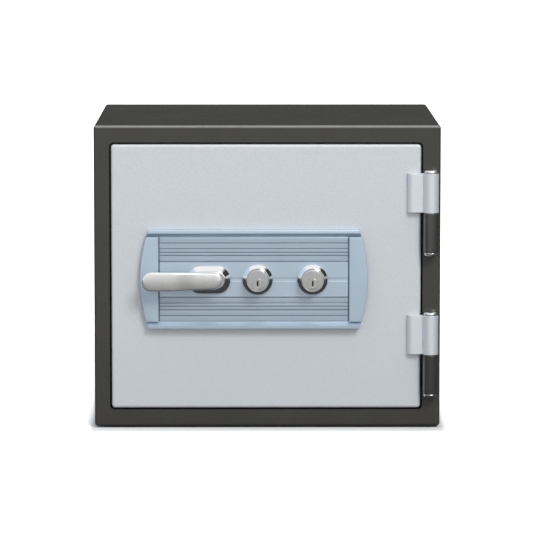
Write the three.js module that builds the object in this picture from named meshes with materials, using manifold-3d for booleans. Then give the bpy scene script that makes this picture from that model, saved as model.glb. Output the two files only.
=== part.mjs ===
// A small fire-resistant safe with an outside-hinged door, a lever handle and two key locks.
// Millimetres, +Z up. The front faces -Y and the hinges are on +X. Inside this file y is measured
// from the casing's front face: negative in front of it, positive into the safe.
import * as THREE from "three";
import { mergeVertices } from "three/addons/utils/BufferGeometryUtils.js";
import Module from "manifold-3d";

const wasm = await Module();
wasm.setup();

// ---- Casing ----
const CASING_W = 412; // overall width
const CASING_H = 360; // height of the steel casing, without its foot pads
const CASING_D = 363; // front face to back
const SHEET = 1.5; // steel sheet of casing, frame and door
const EDGE_R = 3.5; // folded outer edges of the casing
const EDGE_ROUND = 3; // rounding of the casing's front edge
const GAP = 0.3; // assembly gap between pieces that touch
const REAR_FLANGE = 12; // turned-in flange of the rear panel

// ---- Door opening and fire walls ----
const MARGIN_LEFT = 18.4; // casing face beside the opening
const MARGIN_RIGHT = 21.2;
const MARGIN_Z = 20.1; // casing face above and below the opening
const OPENING_R = 5; // corner radius of the opening
const DOOR_GAP = 2.2; // gap all round the closed door
const REBATE_D = 25; // front face to the step that the door closes on
const WALL_SIDE = 52; // outside of the casing to the inside of the liner
const WALL_Z = 57;
const WALL_BACK = 55;
const LINER_T = 2.6; // moulded liner wall
const LINER_R = 8; // corner radius of the liner
const LINER_FLANGE = 16; // liner's flange on the step
const COLLAR_MARGIN = 3; // liner's front collar goes on past the keeper plates

// ---- Feet and floor anchors ----
const FOOT_T = 2; // pad thickness under the casing
const FOOT_R = 15;
const FOOT_STEM_R = 5;
const FOOT_STEM_H = 7;
const FOOT_INSET_X = 36; // pad centre from the casing's side
const FOOT_INSET_Y = 35; // pad centre from the front and the back
const ANCHOR_INSET_X = 116; // anchor bolt hole from the casing's side
const ANCHOR_INSET_Y = 163; // anchor bolt hole from the back
const ANCHOR_R = 7; // inside of the anchor sleeve
const ANCHOR_WALL = 2;
const ANCHOR_CAP_R = 12;
const ANCHOR_CAP_T = 2;
const ANCHOR_STEM_H = 12;

// ---- Shelf ----
const SHELF_T = 1.5;
const SHELF_LIP = 12;
const SHELF_FRONT_Y = 100;
const SHELF_BACK_GAP = 8;
const SHELF_SIDE_GAP = 1.5;
const LEDGE_W = 7; // moulded ledge that carries the shelf
const LEDGE_T = 4;

// ---- Door ----
const DOOR_PROUD = 1.5; // door face in front of the casing's face
const DOOR_R = 4; // corner radius of the door
const DOOR_ROUND = 3; // rounding of the door's front edge
const SEAL_ROOM = 5; // back of the door's outer slab to the step
const PLUG_ROOM = 1.9; // bolts to the plug's back wall, inside
const PLUG_GAP = 4; // plug to liner, all round, at the step
const PLUG_DRAFT_X = 7; // how much narrower each side of the plug is at its back
const PLUG_DRAFT_Z = 3;
const SEAL_W = 8;
const SEAL_INSET = 3; // seal from the plug's side
const PLATE_Y = 47; // front of the boltwork plate
const PLATE_T = 2;
const PLATE_INSET = 9; // plate's edge from the plug's outline at the step
const LINER_SCREW_INSET = 22;
const LINER_SCREW_R = 4.5;

// ---- Hinges ----
const BARREL_R = 9;
const BARREL_CLEAR = 0.5; // barrel to casing face
const HINGE_INSET = 11.7; // hinge axis from the casing's right side
const HINGE_FROM_TOP = 103.3; // where the upper hinge's two knuckles meet, from the casing's top
const HINGE_FROM_BOTTOM = 87.4; // the same for the lower hinge, from the casing's bottom
const KNUCKLE_H = 46.5;
const KNUCKLE_GAP = 0.6;
const PIN_R = 5;
const PIN_CLEAR = 0.25;
const PIN_HEAD_R = 8.3;
const PIN_HEAD_H = 5.3;
const LEAF_REACH = 27.8; // leaf's free edge from the hinge axis
const LEAF_ROUND = 6;

// ---- Lock panel: heights p are in front of the door's face ----
const PANEL_W = 270.3; // over the curved ends
const PANEL_H = 118.6;
const PANEL_END_R = 180; // radius of the curved ends
const PANEL_X = -16; // panel centre from the casing's centre
const PANEL_DROP = 2.6; // panel centre below the door's centre
const RAIL_P = 11; // top and bottom rails
const RAIL_LIP = 4; // flat front of a rail
const RAIL_BEVEL = 4.6; // slope from the rail down to the ribbed field
const FIELD_P = 6.2;
const BAND_P = 8; // flat band that carries the handle and locks
const BAND_HALF = 20.6;
const GROOVE_DEPTH = 0.9;
const GROOVE_HALF = 0.6;
const GROOVES = [28.4, 32.3, 36.5, 43.4]; // groove centres above and below the panel's centre
const MID_GROOVE = [-2.4, 2.2]; // the wide shallow groove along the band
const PANEL_HOLLOW = 3.2; // depth of the channel behind the panel
const PANEL_WEB = 3; // rail wall beside that channel
const CAP_W = 22; // end cap, from its straight edge to the tip
const CAP_P = 9.6;
const JOINT_LINE = 1.2; // gap between a cap and the ribs

// ---- Handle ----
const HANDLE_U = -48; // handle axis from the panel's centre
const HANDLE_TURN = THREE.MathUtils.degToRad(50); // lever travel that throws the bolts
const ESC_HALF_W = 25.5; // escutcheon half width, half height
const ESC_HALF_H = 16.75;
const ESC_U = -5.4; // escutcheon centre from the handle axis
const ESC_TOP_P = 16.5;
const ESC_BEVEL = 5.2;
const ESC_CORNER = 14;
const HUB_R = 9.8;
const HUB_BACK_P = 17;
const HUB_P = 29;
const BLADE_P = 35;
const BLADE_T = 6.5;
const BLADE_LENGTH = 84.4; // axis to tip
const BLADE_HALF = 11.2; // half height at the tip
const SPINDLE = 8; // square spindle
const SOCKET_DEPTH = 9;

// ---- Locks ----
const LOCKS_U = { left: 4.5, right: 69.7 }; // lock centres from the panel's centre
const COLLAR_R = 18;
const COLLAR_EDGE = 1.7; // straight edge below the collar's slope
const COLLAR_FRONT_R = 14;
const COLLAR_P = 14.3;
const CYLINDER_R = 13;
const CYLINDER_P = 24;
const CYLINDER_BODY_R = 12;
const CYLINDER_BACK = 12; // y of the cylinder's back
const NUT_FLATS = 31;
const NUT_T = 5;
const KEY_DROP = 3.3; // key axis below the lock's centre
const KEY_PLUG_R = 6.2;
const KEYWAY_W = 2.2;
const KEYWAY_H = 7.4;
const KEYWAY_D = 22;
const TAIL_W = 6;
const TAIL_T = 2.6;
const CAM_R = 8;
const CAM_LENGTH = 17;
const CAM_W = 8;

// ---- Boltwork ----
const CRANK_R = 26; // spindle axis to crank pin
const CRANK_T = 3;
const CRANK_PIN_R = 4;
const BAR_Y = 53; // front of the bolt bar
const BAR_T = 3;
const BAR_TOP = 13; // bar's upper and lower edges below the panel's centre
const BAR_BOTTOM = 36;
const BAR_RIGHT = 114; // bar's right end from the panel's centre
const FLANGE_ROOM = 0.4; // boltwork flanges to the plug's back wall
const BOLT_R = 10;
const BOLT_Y = 63.5;
const BOLT_REACH = 0.5; // tip of a drawn bolt beyond the plug's back corner
const BOLT_LENGTH = 42;
const BOLT_FROM_PLUG_END = 49; // bolt axis from the top and bottom of the plug
const BOLT_CLEAR = 0.4;
const GUIDE_T = 3;
const GUIDE_INSET = 3; // guide bracket from the plug's back corner
const GUIDE_FOOT = 17;
const STUD_R = 2.5;
const STUDS_U = [-76, 82]; // guide studs from the panel's centre
const STUD_DROP = 29.5; // stud below the panel's centre
const FIXED_BOLT_R = 8;
const FIXED_BOLT_Y = 62;
const FIXED_BOLT_OUT = 17; // beyond the plug's back corner
const KEEPER_T = 3;
const KEEPER_CLEAR = 2.8; // thrown bolt to the sides of its window
const KEEPER_MARGIN = 4; // keeper plate left beside its windows
const KEEPER_RUN_OUT = 6; // fixed bolts' windows reach this much further forwards, for the door's swing

// ---- Places worked out from the sizes above ----
const rect = (x0, x1, z0, z1) => ({ x0, x1, z0, z1 });
const grow = (r, dx, dz = dx) => rect(r.x0 - dx, r.x1 + dx, r.z0 - dz, r.z1 + dz);
const midZ = (r) => (r.z0 + r.z1) / 2;
const outside = rect(-CASING_W / 2, CASING_W / 2, FOOT_T, FOOT_T + CASING_H);
const sides = [outside.x0 + MARGIN_LEFT, outside.x1 - MARGIN_RIGHT];
const opening = rect(...sides, outside.z0 + MARGIN_Z, outside.z1 - MARGIN_Z);
const doorRect = grow(opening, -DOOR_GAP);
const cavity = grow(outside, -WALL_SIDE, -WALL_Z);
const cavityBack = CASING_D - WALL_BACK;
const linerOuter = grow(cavity, LINER_T);
const plugFront = grow(cavity, -PLUG_GAP);
const plugRear = grow(plugFront, -PLUG_DRAFT_X, -PLUG_DRAFT_Z);
const doorFace = -DOOR_PROUD;
const panBack = REBATE_D - SEAL_ROOM;
const plugBack = BOLT_Y + BOLT_R + PLUG_ROOM + LINER_T;
const flangeBack = plugBack - LINER_T - FLANGE_ROOM;
const panelZ = midZ(doorRect) - PANEL_DROP;
const handleX = PANEL_X + HANDLE_U;
const leverReach = DOOR_PROUD + BLADE_P;
const railFoot = PANEL_H / 2 - RAIL_LIP - RAIL_BEVEL; // where the ribbed field meets a rail
const capSeat = FIELD_P - GROOVE_DEPTH;
const hinge = { x: outside.x1 - HINGE_INSET, y: -(BARREL_R + BARREL_CLEAR) };
const hingeZ = { upper: outside.z1 - HINGE_FROM_TOP, lower: outside.z0 + HINGE_FROM_BOTTOM };
const keyZ = panelZ - KEY_DROP;
const boltTravel = 2 * CRANK_R * Math.sin(HANDLE_TURN / 2);
const boltZ = { upper: plugFront.z1 - BOLT_FROM_PLUG_END, lower: plugFront.z0 + BOLT_FROM_PLUG_END };
const boltTip = plugRear.x0 - BOLT_REACH;
const boltInner = boltTip + BOLT_LENGTH;
const guideX = plugRear.x0 + GUIDE_INSET;
const bracketX = plugRear.x1 - GUIDE_INSET;
const insideBase = outside.z0 + SHEET + GAP;
const footPlaces = {
  front_left: [outside.x0 + FOOT_INSET_X, FOOT_INSET_Y],
  front_right: [outside.x1 - FOOT_INSET_X, FOOT_INSET_Y],
  rear_left: [outside.x0 + FOOT_INSET_X, CASING_D - FOOT_INSET_Y],
  rear_right: [outside.x1 - FOOT_INSET_X, CASING_D - FOOT_INSET_Y],
};
const anchorPlaces = {
  left: [outside.x0 + ANCHOR_INSET_X, CASING_D - ANCHOR_INSET_Y],
  right: [outside.x1 - ANCHOR_INSET_X, CASING_D - ANCHOR_INSET_Y],
};

// ---- Materials ----
const paint = (color, roughness, metalness = 0.1) =>
  new THREE.MeshStandardMaterial({ color, roughness, metalness });
const DARK_PAINT = paint(0x46453f, 0.55);
const DARK_GLOSS = paint(0x3c3b36, 0.3);
const PALE_PAINT = paint(0xc6cbd0, 0.5);
const LINER_PLASTIC = paint(0xd9d8d0, 0.6, 0);
const FIRE_FILL = paint(0xb9b4a8, 0.95, 0);
const RUBBER = paint(0x1d1d1c, 0.9, 0);
const CHROME = paint(0xe6e7e8, 0.1, 1);
const SATIN = paint(0xb9bab8, 0.35, 1);
const STEEL = paint(0x9a9c9e, 0.45, 1);
const ANODISED = paint(0x9fb4c6, 0.4, 0.6);
const BRASS = paint(0xb59a57, 0.35, 1);

// ---- Solid helpers ----
const X = new THREE.Vector3(1, 0, 0);
const Y = new THREE.Vector3(0, 1, 0);
const Z = new THREE.Vector3(0, 0, 1);
const FRONT = new THREE.Vector3(0, -1, 0);
const LEFT = new THREE.Vector3(-1, 0, 0);
const DOWN = new THREE.Vector3(0, 0, -1);

// A closed three.js geometry as a solid that can be joined and cut.
function solid(geometry) {
  const bare = geometry.clone();
  bare.deleteAttribute("normal");
  bare.deleteAttribute("uv");
  const merged = mergeVertices(bare, 1e-4);
  const triVerts = new Uint32Array(merged.index.array);
  return new wasm.Manifold(
    new wasm.Mesh({ numProp: 3, vertProperties: merged.attributes.position.array, triVerts }),
  );
}

// The solid's surface as a flat-shaded three.js geometry.
function surface(body) {
  const { vertProperties, triVerts, numProp, numVert } = body.getMesh();
  const points = new Float32Array(numVert * 3);
  for (let i = 0; i < numVert; i++) {
    points.set(vertProperties.subarray(i * numProp, i * numProp + 3), i * 3);
  }
  const geometry = new THREE.BufferGeometry();
  geometry.setAttribute("position", new THREE.BufferAttribute(points, 3));
  geometry.setIndex(new THREE.BufferAttribute(triVerts, 1));
  const flat = geometry.toNonIndexed();
  flat.computeVertexNormals();
  return flat;
}

const join = (first, ...others) => others.reduce((sum, s) => sum.add(s), first);
const cut = (first, ...others) => others.reduce((rest, s) => rest.subtract(s), first);

function box(x0, x1, y0, y1, z0, z1) {
  const g = new THREE.BoxGeometry(x1 - x0, y1 - y0, z1 - z0);
  return solid(g.translate((x0 + x1) / 2, (y0 + y1) / 2, (z0 + z1) / 2));
}

const block = (r, y0, y1) => box(r.x0, r.x1, y0, y1, r.z0, r.z1);

// A body of revolution: profile points are [radius, height] with heights measured along the direction.
function turned(profile, direction, segments = 24) {
  const g = new THREE.LatheGeometry(profile.map(([r, h]) => new THREE.Vector2(r, h)), segments);
  return solid(g.applyQuaternion(new THREE.Quaternion().setFromUnitVectors(Y, direction)));
}

function rod(radius, from, to, direction, segments = 24) {
  return turned([[0, from], [radius, from], [radius, to], [0, to]], direction, segments);
}

// A rod along Y through (x, z), from y0 to y1.
const hole = (x, z, r, y0, y1, segments = 24) => rod(r, y0, y1, Y, segments).translate([x, 0, z]);

// An outline in X and Z, carried from y0 to y1, with an optional rounded front edge.
function plate(shape, y0, y1, options = {}) {
  const { round = 0, slope = round, segments = 3, curveSegments = 4 } = options;
  const g = new THREE.ExtrudeGeometry(shape, {
    depth: y1 - y0 - (round ? round : 0),
    curveSegments,
    bevelEnabled: round > 0,
    bevelThickness: round,
    bevelSize: slope,
    bevelOffset: -slope,
    bevelSegments: segments,
  });
  g.applyMatrix4(new THREE.Matrix4().makeBasis(X, Z, FRONT)).translate(0, y1, 0);
  const body = solid(g);
  return round ? cut(body, box(-1e3, 1e3, y1, y1 + 1e2, -1e3, 1e3)) : body;
}

// A profile in Y and Z, carried along X.
function section(shape, x0, x1) {
  const g = new THREE.ExtrudeGeometry(shape, { depth: x1 - x0, bevelEnabled: false });
  return solid(g.applyMatrix4(new THREE.Matrix4().makeBasis(Y, Z, X)).translate(x0, 0, 0));
}

// A profile in X and Y, carried along Z.
function pillar(shape, z0, z1, curveSegments = 8) {
  const g = new THREE.ExtrudeGeometry(shape, { depth: z1 - z0, bevelEnabled: false, curveSegments });
  return solid(g.translate(0, 0, z0));
}

const polygon = (points) => new THREE.Shape(points.map(([a, b]) => new THREE.Vector2(a, b)));

function roundedRect(r, radius) {
  const s = new THREE.Shape();
  s.moveTo(r.x0 + radius, r.z0);
  s.lineTo(r.x1 - radius, r.z0);
  s.absarc(r.x1 - radius, r.z0 + radius, radius, -Math.PI / 2, 0);
  s.lineTo(r.x1, r.z1 - radius);
  s.absarc(r.x1 - radius, r.z1 - radius, radius, 0, Math.PI / 2);
  s.lineTo(r.x0 + radius, r.z1);
  s.absarc(r.x0 + radius, r.z1 - radius, radius, Math.PI / 2, Math.PI);
  s.lineTo(r.x0, r.z0 + radius);
  s.absarc(r.x0 + radius, r.z0 + radius, radius, Math.PI, 1.5 * Math.PI);
  return s;
}

const prism = (r, y0, y1, radius, options) => plate(roundedRect(r, radius), y0, y1, options);

// The door plug's shape: a rounded block whose sides draw in from the step to its back.
function plugShape(inset, y0, y1) {
  const r = grow(plugFront, -inset);
  const g = new THREE.ExtrudeGeometry(roundedRect(r, LINER_R - inset), {
    depth: y1 - y0,
    bevelEnabled: false,
    curveSegments: 4,
  });
  g.applyMatrix4(new THREE.Matrix4().makeBasis(X, Z, FRONT)).translate(0, y1, 0);
  const p = g.attributes.position;
  const middle = midZ(r);
  for (let i = 0; i < p.count; i++) {
    const share = (p.getY(i) - panBack) / (plugBack - panBack);
    p.setX(i, p.getX(i) - Math.sign(p.getX(i)) * PLUG_DRAFT_X * share);
    p.setZ(i, p.getZ(i) - Math.sign(p.getZ(i) - middle) * PLUG_DRAFT_Z * share);
  }
  return solid(g);
}

// ---- Body pieces ----
function outerCasing() {
  const shell = prism(outside, 0, CASING_D, EDGE_R, { round: EDGE_ROUND, segments: 6, curveSegments: 6 });
  const inside = prism(grow(outside, -SHEET), SHEET, CASING_D + 1, EDGE_R - SHEET);
  const doorway = prism(opening, -1, SHEET + 1, OPENING_R);
  const drill = ([x, y], r) => rod(r, outside.z0 - 1, outside.z0 + SHEET + 1, Z, 24).translate([x, y, 0]);
  const feet = Object.values(footPlaces).map((at) => drill(at, FOOT_STEM_R + GAP));
  const anchors = Object.values(anchorPlaces).map((at) => drill(at, ANCHOR_R));
  return cut(shell, inside, doorway, ...feet, ...anchors);
}

function rearPanel() {
  const r = grow(outside, -(SHEET + GAP));
  const pan = prism(r, CASING_D - REAR_FLANGE, CASING_D, EDGE_R - SHEET);
  const inside = prism(grow(r, -SHEET), CASING_D - REAR_FLANGE - 1, CASING_D - SHEET, EDGE_R - SHEET);
  return cut(pan, inside);
}

function doorFrame() {
  const tube = prism(grow(opening, SHEET), SHEET + GAP, REBATE_D + SHEET, OPENING_R + SHEET);
  const rebate = prism(opening, 0, REBATE_D, OPENING_R);
  const throat = prism(grow(linerOuter, GAP), 0, REBATE_D + SHEET + 1, LINER_R + LINER_T);
  return cut(tube, rebate, throat);
}

// Where each thrown bolt enters the left wall, and where each fixed bolt sits in the right wall.
const boltPockets = (inset, x0, x1) =>
  Object.values(boltZ).map((z) => {
    const half = BOLT_R + inset;
    return box(x0, x1, BOLT_Y - half, BOLT_Y + half, z - half, z + half);
  });

const fixedBoltPockets = (inset, x0, x1) =>
  Object.values(boltZ).map((z) => {
    const half = FIXED_BOLT_R + inset;
    return box(x0, x1, FIXED_BOLT_Y - half - KEEPER_RUN_OUT, FIXED_BOLT_Y + half, z - half, z + half);
  });

function bodyInsulation() {
  const room = grow(outside, -(SHEET + GAP));
  const backY = CASING_D - REAR_FLANGE - GAP;
  const fill = prism(room, SHEET + GAP, backY, EDGE_R - SHEET - GAP);
  const rebate = block(grow(opening, SHEET + GAP), 0, REBATE_D + SHEET + GAP);
  const hollow = block(grow(linerOuter, GAP), 0, cavityBack + LINER_T + GAP);
  const keeperRoom = KEEPER_T + 2 * GAP;
  const zLow = boltZ.lower - BOLT_R - 3 * KEEPER_MARGIN;
  const zHigh = boltZ.upper + BOLT_R + 3 * KEEPER_MARGIN;
  const [boltPlate, fixedPlate] = [keeperSpan("left"), keeperSpan("right")];
  const keeperLeft = box(linerOuter.x0 - keeperRoom, 0, boltPlate.y0 - 1, boltPlate.y1 + 1, zLow, zHigh);
  const keeperRight = box(0, linerOuter.x1 + keeperRoom, fixedPlate.y0 - 1, fixedPlate.y1 + 1, zLow, zHigh);
  const depth = boltTip - boltTravel - 4;
  const wide = KEEPER_CLEAR + 0.4;
  const rightDepth = plugRear.x1 + FIXED_BOLT_OUT + 4;
  const pockets = [...boltPockets(wide, depth, 0), ...fixedBoltPockets(wide, 0, rightDepth)];
  const stems = Object.values(footPlaces).map(([x, y]) =>
    rod(FOOT_STEM_R + 1, 0, outside.z0 + FOOT_STEM_H + 1, Z, 16).translate([x, y, 0]),
  );
  const sleeves = Object.values(anchorPlaces).map(([x, y]) =>
    rod(ANCHOR_R + ANCHOR_WALL + GAP, 0, cavity.z0, Z, 24).translate([x, y, 0]),
  );
  return cut(fill, rebate, hollow, keeperLeft, keeperRight, ...pockets, ...stems, ...sleeves);
}

// The liner is two mouldings: a collar with the bolts' windows, and the tray behind it.
const linerSeam = () => keeperSpan("left").y1 + COLLAR_MARGIN;

function linerCollar() {
  const lip = REBATE_D - GAP;
  const flange = prism(grow(cavity, LINER_FLANGE), lip - LINER_T, lip, LINER_R + LINER_FLANGE);
  const sleeve = prism(linerOuter, lip - LINER_T, linerSeam(), LINER_R + LINER_T);
  const inside = prism(cavity, 0, linerSeam() + 1, LINER_R);
  const windows = boltPockets(KEEPER_CLEAR, cavity.x0 - LINER_T - 1, cavity.x0 + 1);
  const slots = fixedBoltPockets(1, cavity.x1 - 1, cavity.x1 + LINER_T + 1);
  return cut(join(flange, sleeve), inside, ...windows, ...slots);
}

function innerLiner() {
  const front = linerSeam() + GAP;
  const tray = prism(linerOuter, front, cavityBack + LINER_T, LINER_R + LINER_T);
  const inside = prism(cavity, front - 1, cavityBack, LINER_R);
  const shelfZ = midZ(cavity);
  const shelfBack = cavityBack - SHELF_BACK_GAP;
  const ledge = (x0, x1) => box(x0, x1, SHELF_FRONT_Y, shelfBack, shelfZ - LEDGE_T, shelfZ);
  const ledges = [ledge(cavity.x0 - 1, cavity.x0 + LEDGE_W), ledge(cavity.x1 - LEDGE_W, cavity.x1 + 1)];
  const anchors = Object.values(anchorPlaces).map(([x, y]) =>
    rod(ANCHOR_R, cavity.z0 - LINER_T - 1, cavity.z0 + 1, Z, 24).translate([x, y, 0]),
  );
  return cut(join(cut(tray, inside), ...ledges), ...anchors);
}

function shelf() {
  const x1 = cavity.x1 - SHELF_SIDE_GAP;
  const x0 = cavity.x0 + SHELF_SIDE_GAP;
  const z0 = midZ(cavity) + GAP;
  const back = cavityBack - SHELF_BACK_GAP;
  const lipX0 = x0 + LEDGE_W + 2;
  const lipX1 = x1 - LEDGE_W - 2;
  const lip = (y) => box(lipX0, lipX1, y, y + SHELF_T, z0 - SHELF_LIP + SHELF_T, z0 + SHELF_T);
  return join(box(x0, x1, SHELF_FRONT_Y, back, z0, z0 + SHELF_T), lip(SHELF_FRONT_Y), lip(back - SHELF_T));
}

// A foot pad, standing on z = 0, with a stem that presses into the casing's base.
function foot() {
  const profile = [
    [0, 0],
    [FOOT_R - 0.6, 0],
    [FOOT_R, 0.6],
    [FOOT_R, FOOT_T - GAP],
    [FOOT_STEM_R, FOOT_T - GAP],
    [FOOT_STEM_R, FOOT_T + FOOT_STEM_H],
    [0, FOOT_T + FOOT_STEM_H],
  ];
  return turned(profile, Z, 20);
}

function anchorSleeve() {
  const top = cavity.z0 - LINER_T - GAP;
  const r = ANCHOR_R + ANCHOR_WALL;
  const wall = [[ANCHOR_R, insideBase], [r, insideBase], [r, top], [ANCHOR_R, top], [ANCHOR_R, insideBase]];
  return turned(wall, Z);
}

// The cap over an anchor hole, with z measured from the liner's floor.
function anchorPlug() {
  const stemR = ANCHOR_R - GAP;
  const profile = [
    [0, -ANCHOR_STEM_H],
    [stemR, -ANCHOR_STEM_H],
    [stemR, GAP],
    [ANCHOR_CAP_R, GAP],
    [ANCHOR_CAP_R, ANCHOR_CAP_T - 0.7],
    [ANCHOR_CAP_R - 1, ANCHOR_CAP_T],
    [0, ANCHOR_CAP_T],
  ];
  return turned(profile, Z, 24);
}

// How far front and back a keeper plate goes, past its windows.
function keeperSpan(side) {
  const margin = KEEPER_CLEAR + KEEPER_MARGIN;
  if (side === "left") return { y0: BOLT_Y - BOLT_R - margin, y1: BOLT_Y + BOLT_R + margin };
  const half = FIXED_BOLT_R + margin;
  return { y0: FIXED_BOLT_Y - half - KEEPER_RUN_OUT, y1: FIXED_BOLT_Y + half };
}

// Steel plates in the side walls that the bolts pass through.
function keeper(side) {
  const left = side === "left";
  const { y0, y1 } = keeperSpan(side);
  const inner = left ? linerOuter.x0 - GAP : linerOuter.x1 + GAP;
  const outer = left ? inner - KEEPER_T : inner + KEEPER_T;
  const [x0, x1] = [Math.min(inner, outer), Math.max(inner, outer)];
  const reach = BOLT_R + 2.5 * KEEPER_MARGIN;
  const body = box(x0, x1, y0, y1, boltZ.lower - reach, boltZ.upper + reach);
  const pockets = left ? boltPockets : fixedBoltPockets;
  const windows = pockets(left ? KEEPER_CLEAR : BOLT_CLEAR + 0.8, x0 - 1, x1 + 1);
  return cut(body, ...windows);
}

// ---- Hinges: each made about its own axis, with z measured from where its knuckles meet ----
function frameKnuckle() {
  const z1 = -KNUCKLE_GAP / 2;
  const z0 = z1 - KNUCKLE_H;
  const barrel = rod(BARREL_R, z0, z1, Z, 28);
  const pad = box(-BARREL_R + 3, BARREL_R - 1, 0, -hinge.y - GAP, z0, z1);
  return cut(join(barrel, pad), rod(PIN_R + PIN_CLEAR, z0 - 1, z1 + 1, Z));
}

function doorKnuckle() {
  const z0 = KNUCKLE_GAP / 2;
  const z1 = z0 + KNUCKLE_H;
  const back = doorFace - GAP - hinge.y;
  const leaf = new THREE.Shape();
  leaf.moveTo(0, 0);
  leaf.lineTo(0, back);
  leaf.lineTo(-LEAF_REACH, back);
  leaf.lineTo(-LEAF_REACH, LEAF_ROUND);
  leaf.absarc(-LEAF_REACH + LEAF_ROUND, LEAF_ROUND, LEAF_ROUND, Math.PI, 1.5 * Math.PI, false);
  leaf.closePath();
  const body = join(rod(BARREL_R, z0, z1, Z, 28), pillar(leaf, z0, z1, 5));
  return cut(body, rod(PIN_R + PIN_CLEAR, z0 - 1, z1 + 1, Z));
}

// Quarter-ellipse edge of a domed head, from its rim up to its crown.
const dome = (radius, height, from, steps = 3) =>
  Array.from({ length: steps + 1 }, (_, i) => {
    const a = (i / steps) * (Math.PI / 2);
    return [radius * Math.cos(a), from + height * Math.sin(a)];
  });

function hingePin() {
  const top = KNUCKLE_GAP / 2 + KNUCKLE_H + GAP;
  const bottom = -(KNUCKLE_GAP / 2 + KNUCKLE_H) - 3;
  const profile = [[0, bottom], [PIN_R, bottom], [PIN_R, top], [PIN_HEAD_R, top]];
  return turned([...profile, ...dome(PIN_HEAD_R, PIN_HEAD_H - 1.8, top + 1.8)], Z);
}

function pinCap() {
  const start = KNUCKLE_GAP / 2 + KNUCKLE_H + GAP;
  const bore = PIN_R + PIN_CLEAR;
  const profile = [[0, start + 3], [bore, start + 3], [bore, start], [PIN_HEAD_R, start]];
  return turned([...profile, ...dome(PIN_HEAD_R, PIN_HEAD_H - 1.8, start + 1.8)], DOWN);
}

// ---- Door pieces ----
function doorHoles(r, y0, y1, spindleR) {
  const locks = Object.values(LOCKS_U).map((u) => hole(PANEL_X + u, panelZ, r, y0, y1));
  return [...locks, hole(handleX, panelZ, spindleR, y0, y1, 24)];
}

function doorSkin() {
  const edge = { round: DOOR_ROUND, segments: 6, curveSegments: 6 };
  const pan = prism(doorRect, doorFace, panBack, DOOR_R, edge);
  const inside = prism(grow(doorRect, -SHEET), doorFace + SHEET, panBack + 1, DOOR_R - SHEET);
  return cut(pan, inside, ...doorHoles(CYLINDER_BODY_R + GAP, doorFace - 1, 1, 7));
}

function doorInsulation() {
  const slabFront = doorFace + SHEET + GAP;
  const slabBack = panBack - LINER_T - GAP;
  const slab = prism(grow(doorRect, -(SHEET + 2 * GAP)), slabFront, slabBack, DOOR_R - SHEET);
  const core = block(grow(plugFront, -(LINER_T + PLUG_DRAFT_X)), slabBack - 1, PLATE_Y - GAP);
  const pocketBack = CYLINDER_BACK + 2;
  const nutPocket = NUT_FLATS / Math.sqrt(3) + 2;
  const tails = Object.values(LOCKS_U).map((u) =>
    hole(PANEL_X + u, keyZ, TAIL_W / 2 + 2.5, pocketBack - 1, PLATE_Y + 1, 20),
  );
  const spindle = hole(handleX, panelZ, 8, 0, PLATE_Y + 1);
  return cut(join(slab, core), ...doorHoles(nutPocket, 0, pocketBack, 8), ...tails, spindle);
}

function doorLiner() {
  const skirt = grow(doorRect, -(SHEET + GAP));
  const flange = prism(skirt, panBack - LINER_T, panBack, DOOR_R - SHEET);
  const plug = plugShape(0, panBack - LINER_T, plugBack);
  const inside = plugShape(LINER_T, panBack - LINER_T - 1, plugBack - LINER_T);
  const bolts = Object.values(boltZ).map((z) =>
    rod(BOLT_R + BOLT_CLEAR + 0.3, -plugRear.x0 - 6, -plugFront.x0 + 1, LEFT).translate([0, BOLT_Y, z]),
  );
  const fixed = Object.values(boltZ).map((z) =>
    rod(FIXED_BOLT_R + 0.7, plugRear.x1 - 6, plugFront.x1 + 1, X).translate([0, FIXED_BOLT_Y, z]),
  );
  const [screw0, screw1] = [plugBack - LINER_T - 1, plugBack + 1];
  const screws = linerScrewPlaces().map(([x, z]) => hole(x, z, 2.6, screw0, screw1, 16));
  return cut(join(flange, plug), inside, ...bolts, ...fixed, ...screws);
}

function linerScrewPlaces() {
  const r = grow(plugRear, -LINER_SCREW_INSET);
  return [[r.x0, r.z0], [r.x1, r.z0], [r.x0, r.z1], [r.x1, r.z1]];
}

// A domed screw through the back of the door's liner, with a cross recess.
function linerScrew() {
  const head = dome(LINER_SCREW_R, 2.2, plugBack + GAP + 0.4, 4);
  const profile = [[0, PLATE_Y + PLATE_T + GAP], [2.2, PLATE_Y + PLATE_T + GAP], [2.2, plugBack + GAP]];
  const body = turned([...profile, [LINER_SCREW_R, plugBack + GAP], ...head], Y, 20);
  const blade = (w, h) => box(-w, w, plugBack + 1.4, plugBack + 4, -h, h);
  return cut(body, blade(2.4, 0.4), blade(0.4, 2.4));
}

function doorSeal() {
  const inner = grow(plugFront, SEAL_INSET);
  const y0 = panBack + GAP;
  const y1 = REBATE_D - LINER_T - 2 * GAP;
  const ring = prism(grow(inner, SEAL_W), y0, y1, LINER_R + SEAL_W);
  return cut(ring, prism(inner, y0 - 1, y1 + 1, LINER_R));
}

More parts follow.
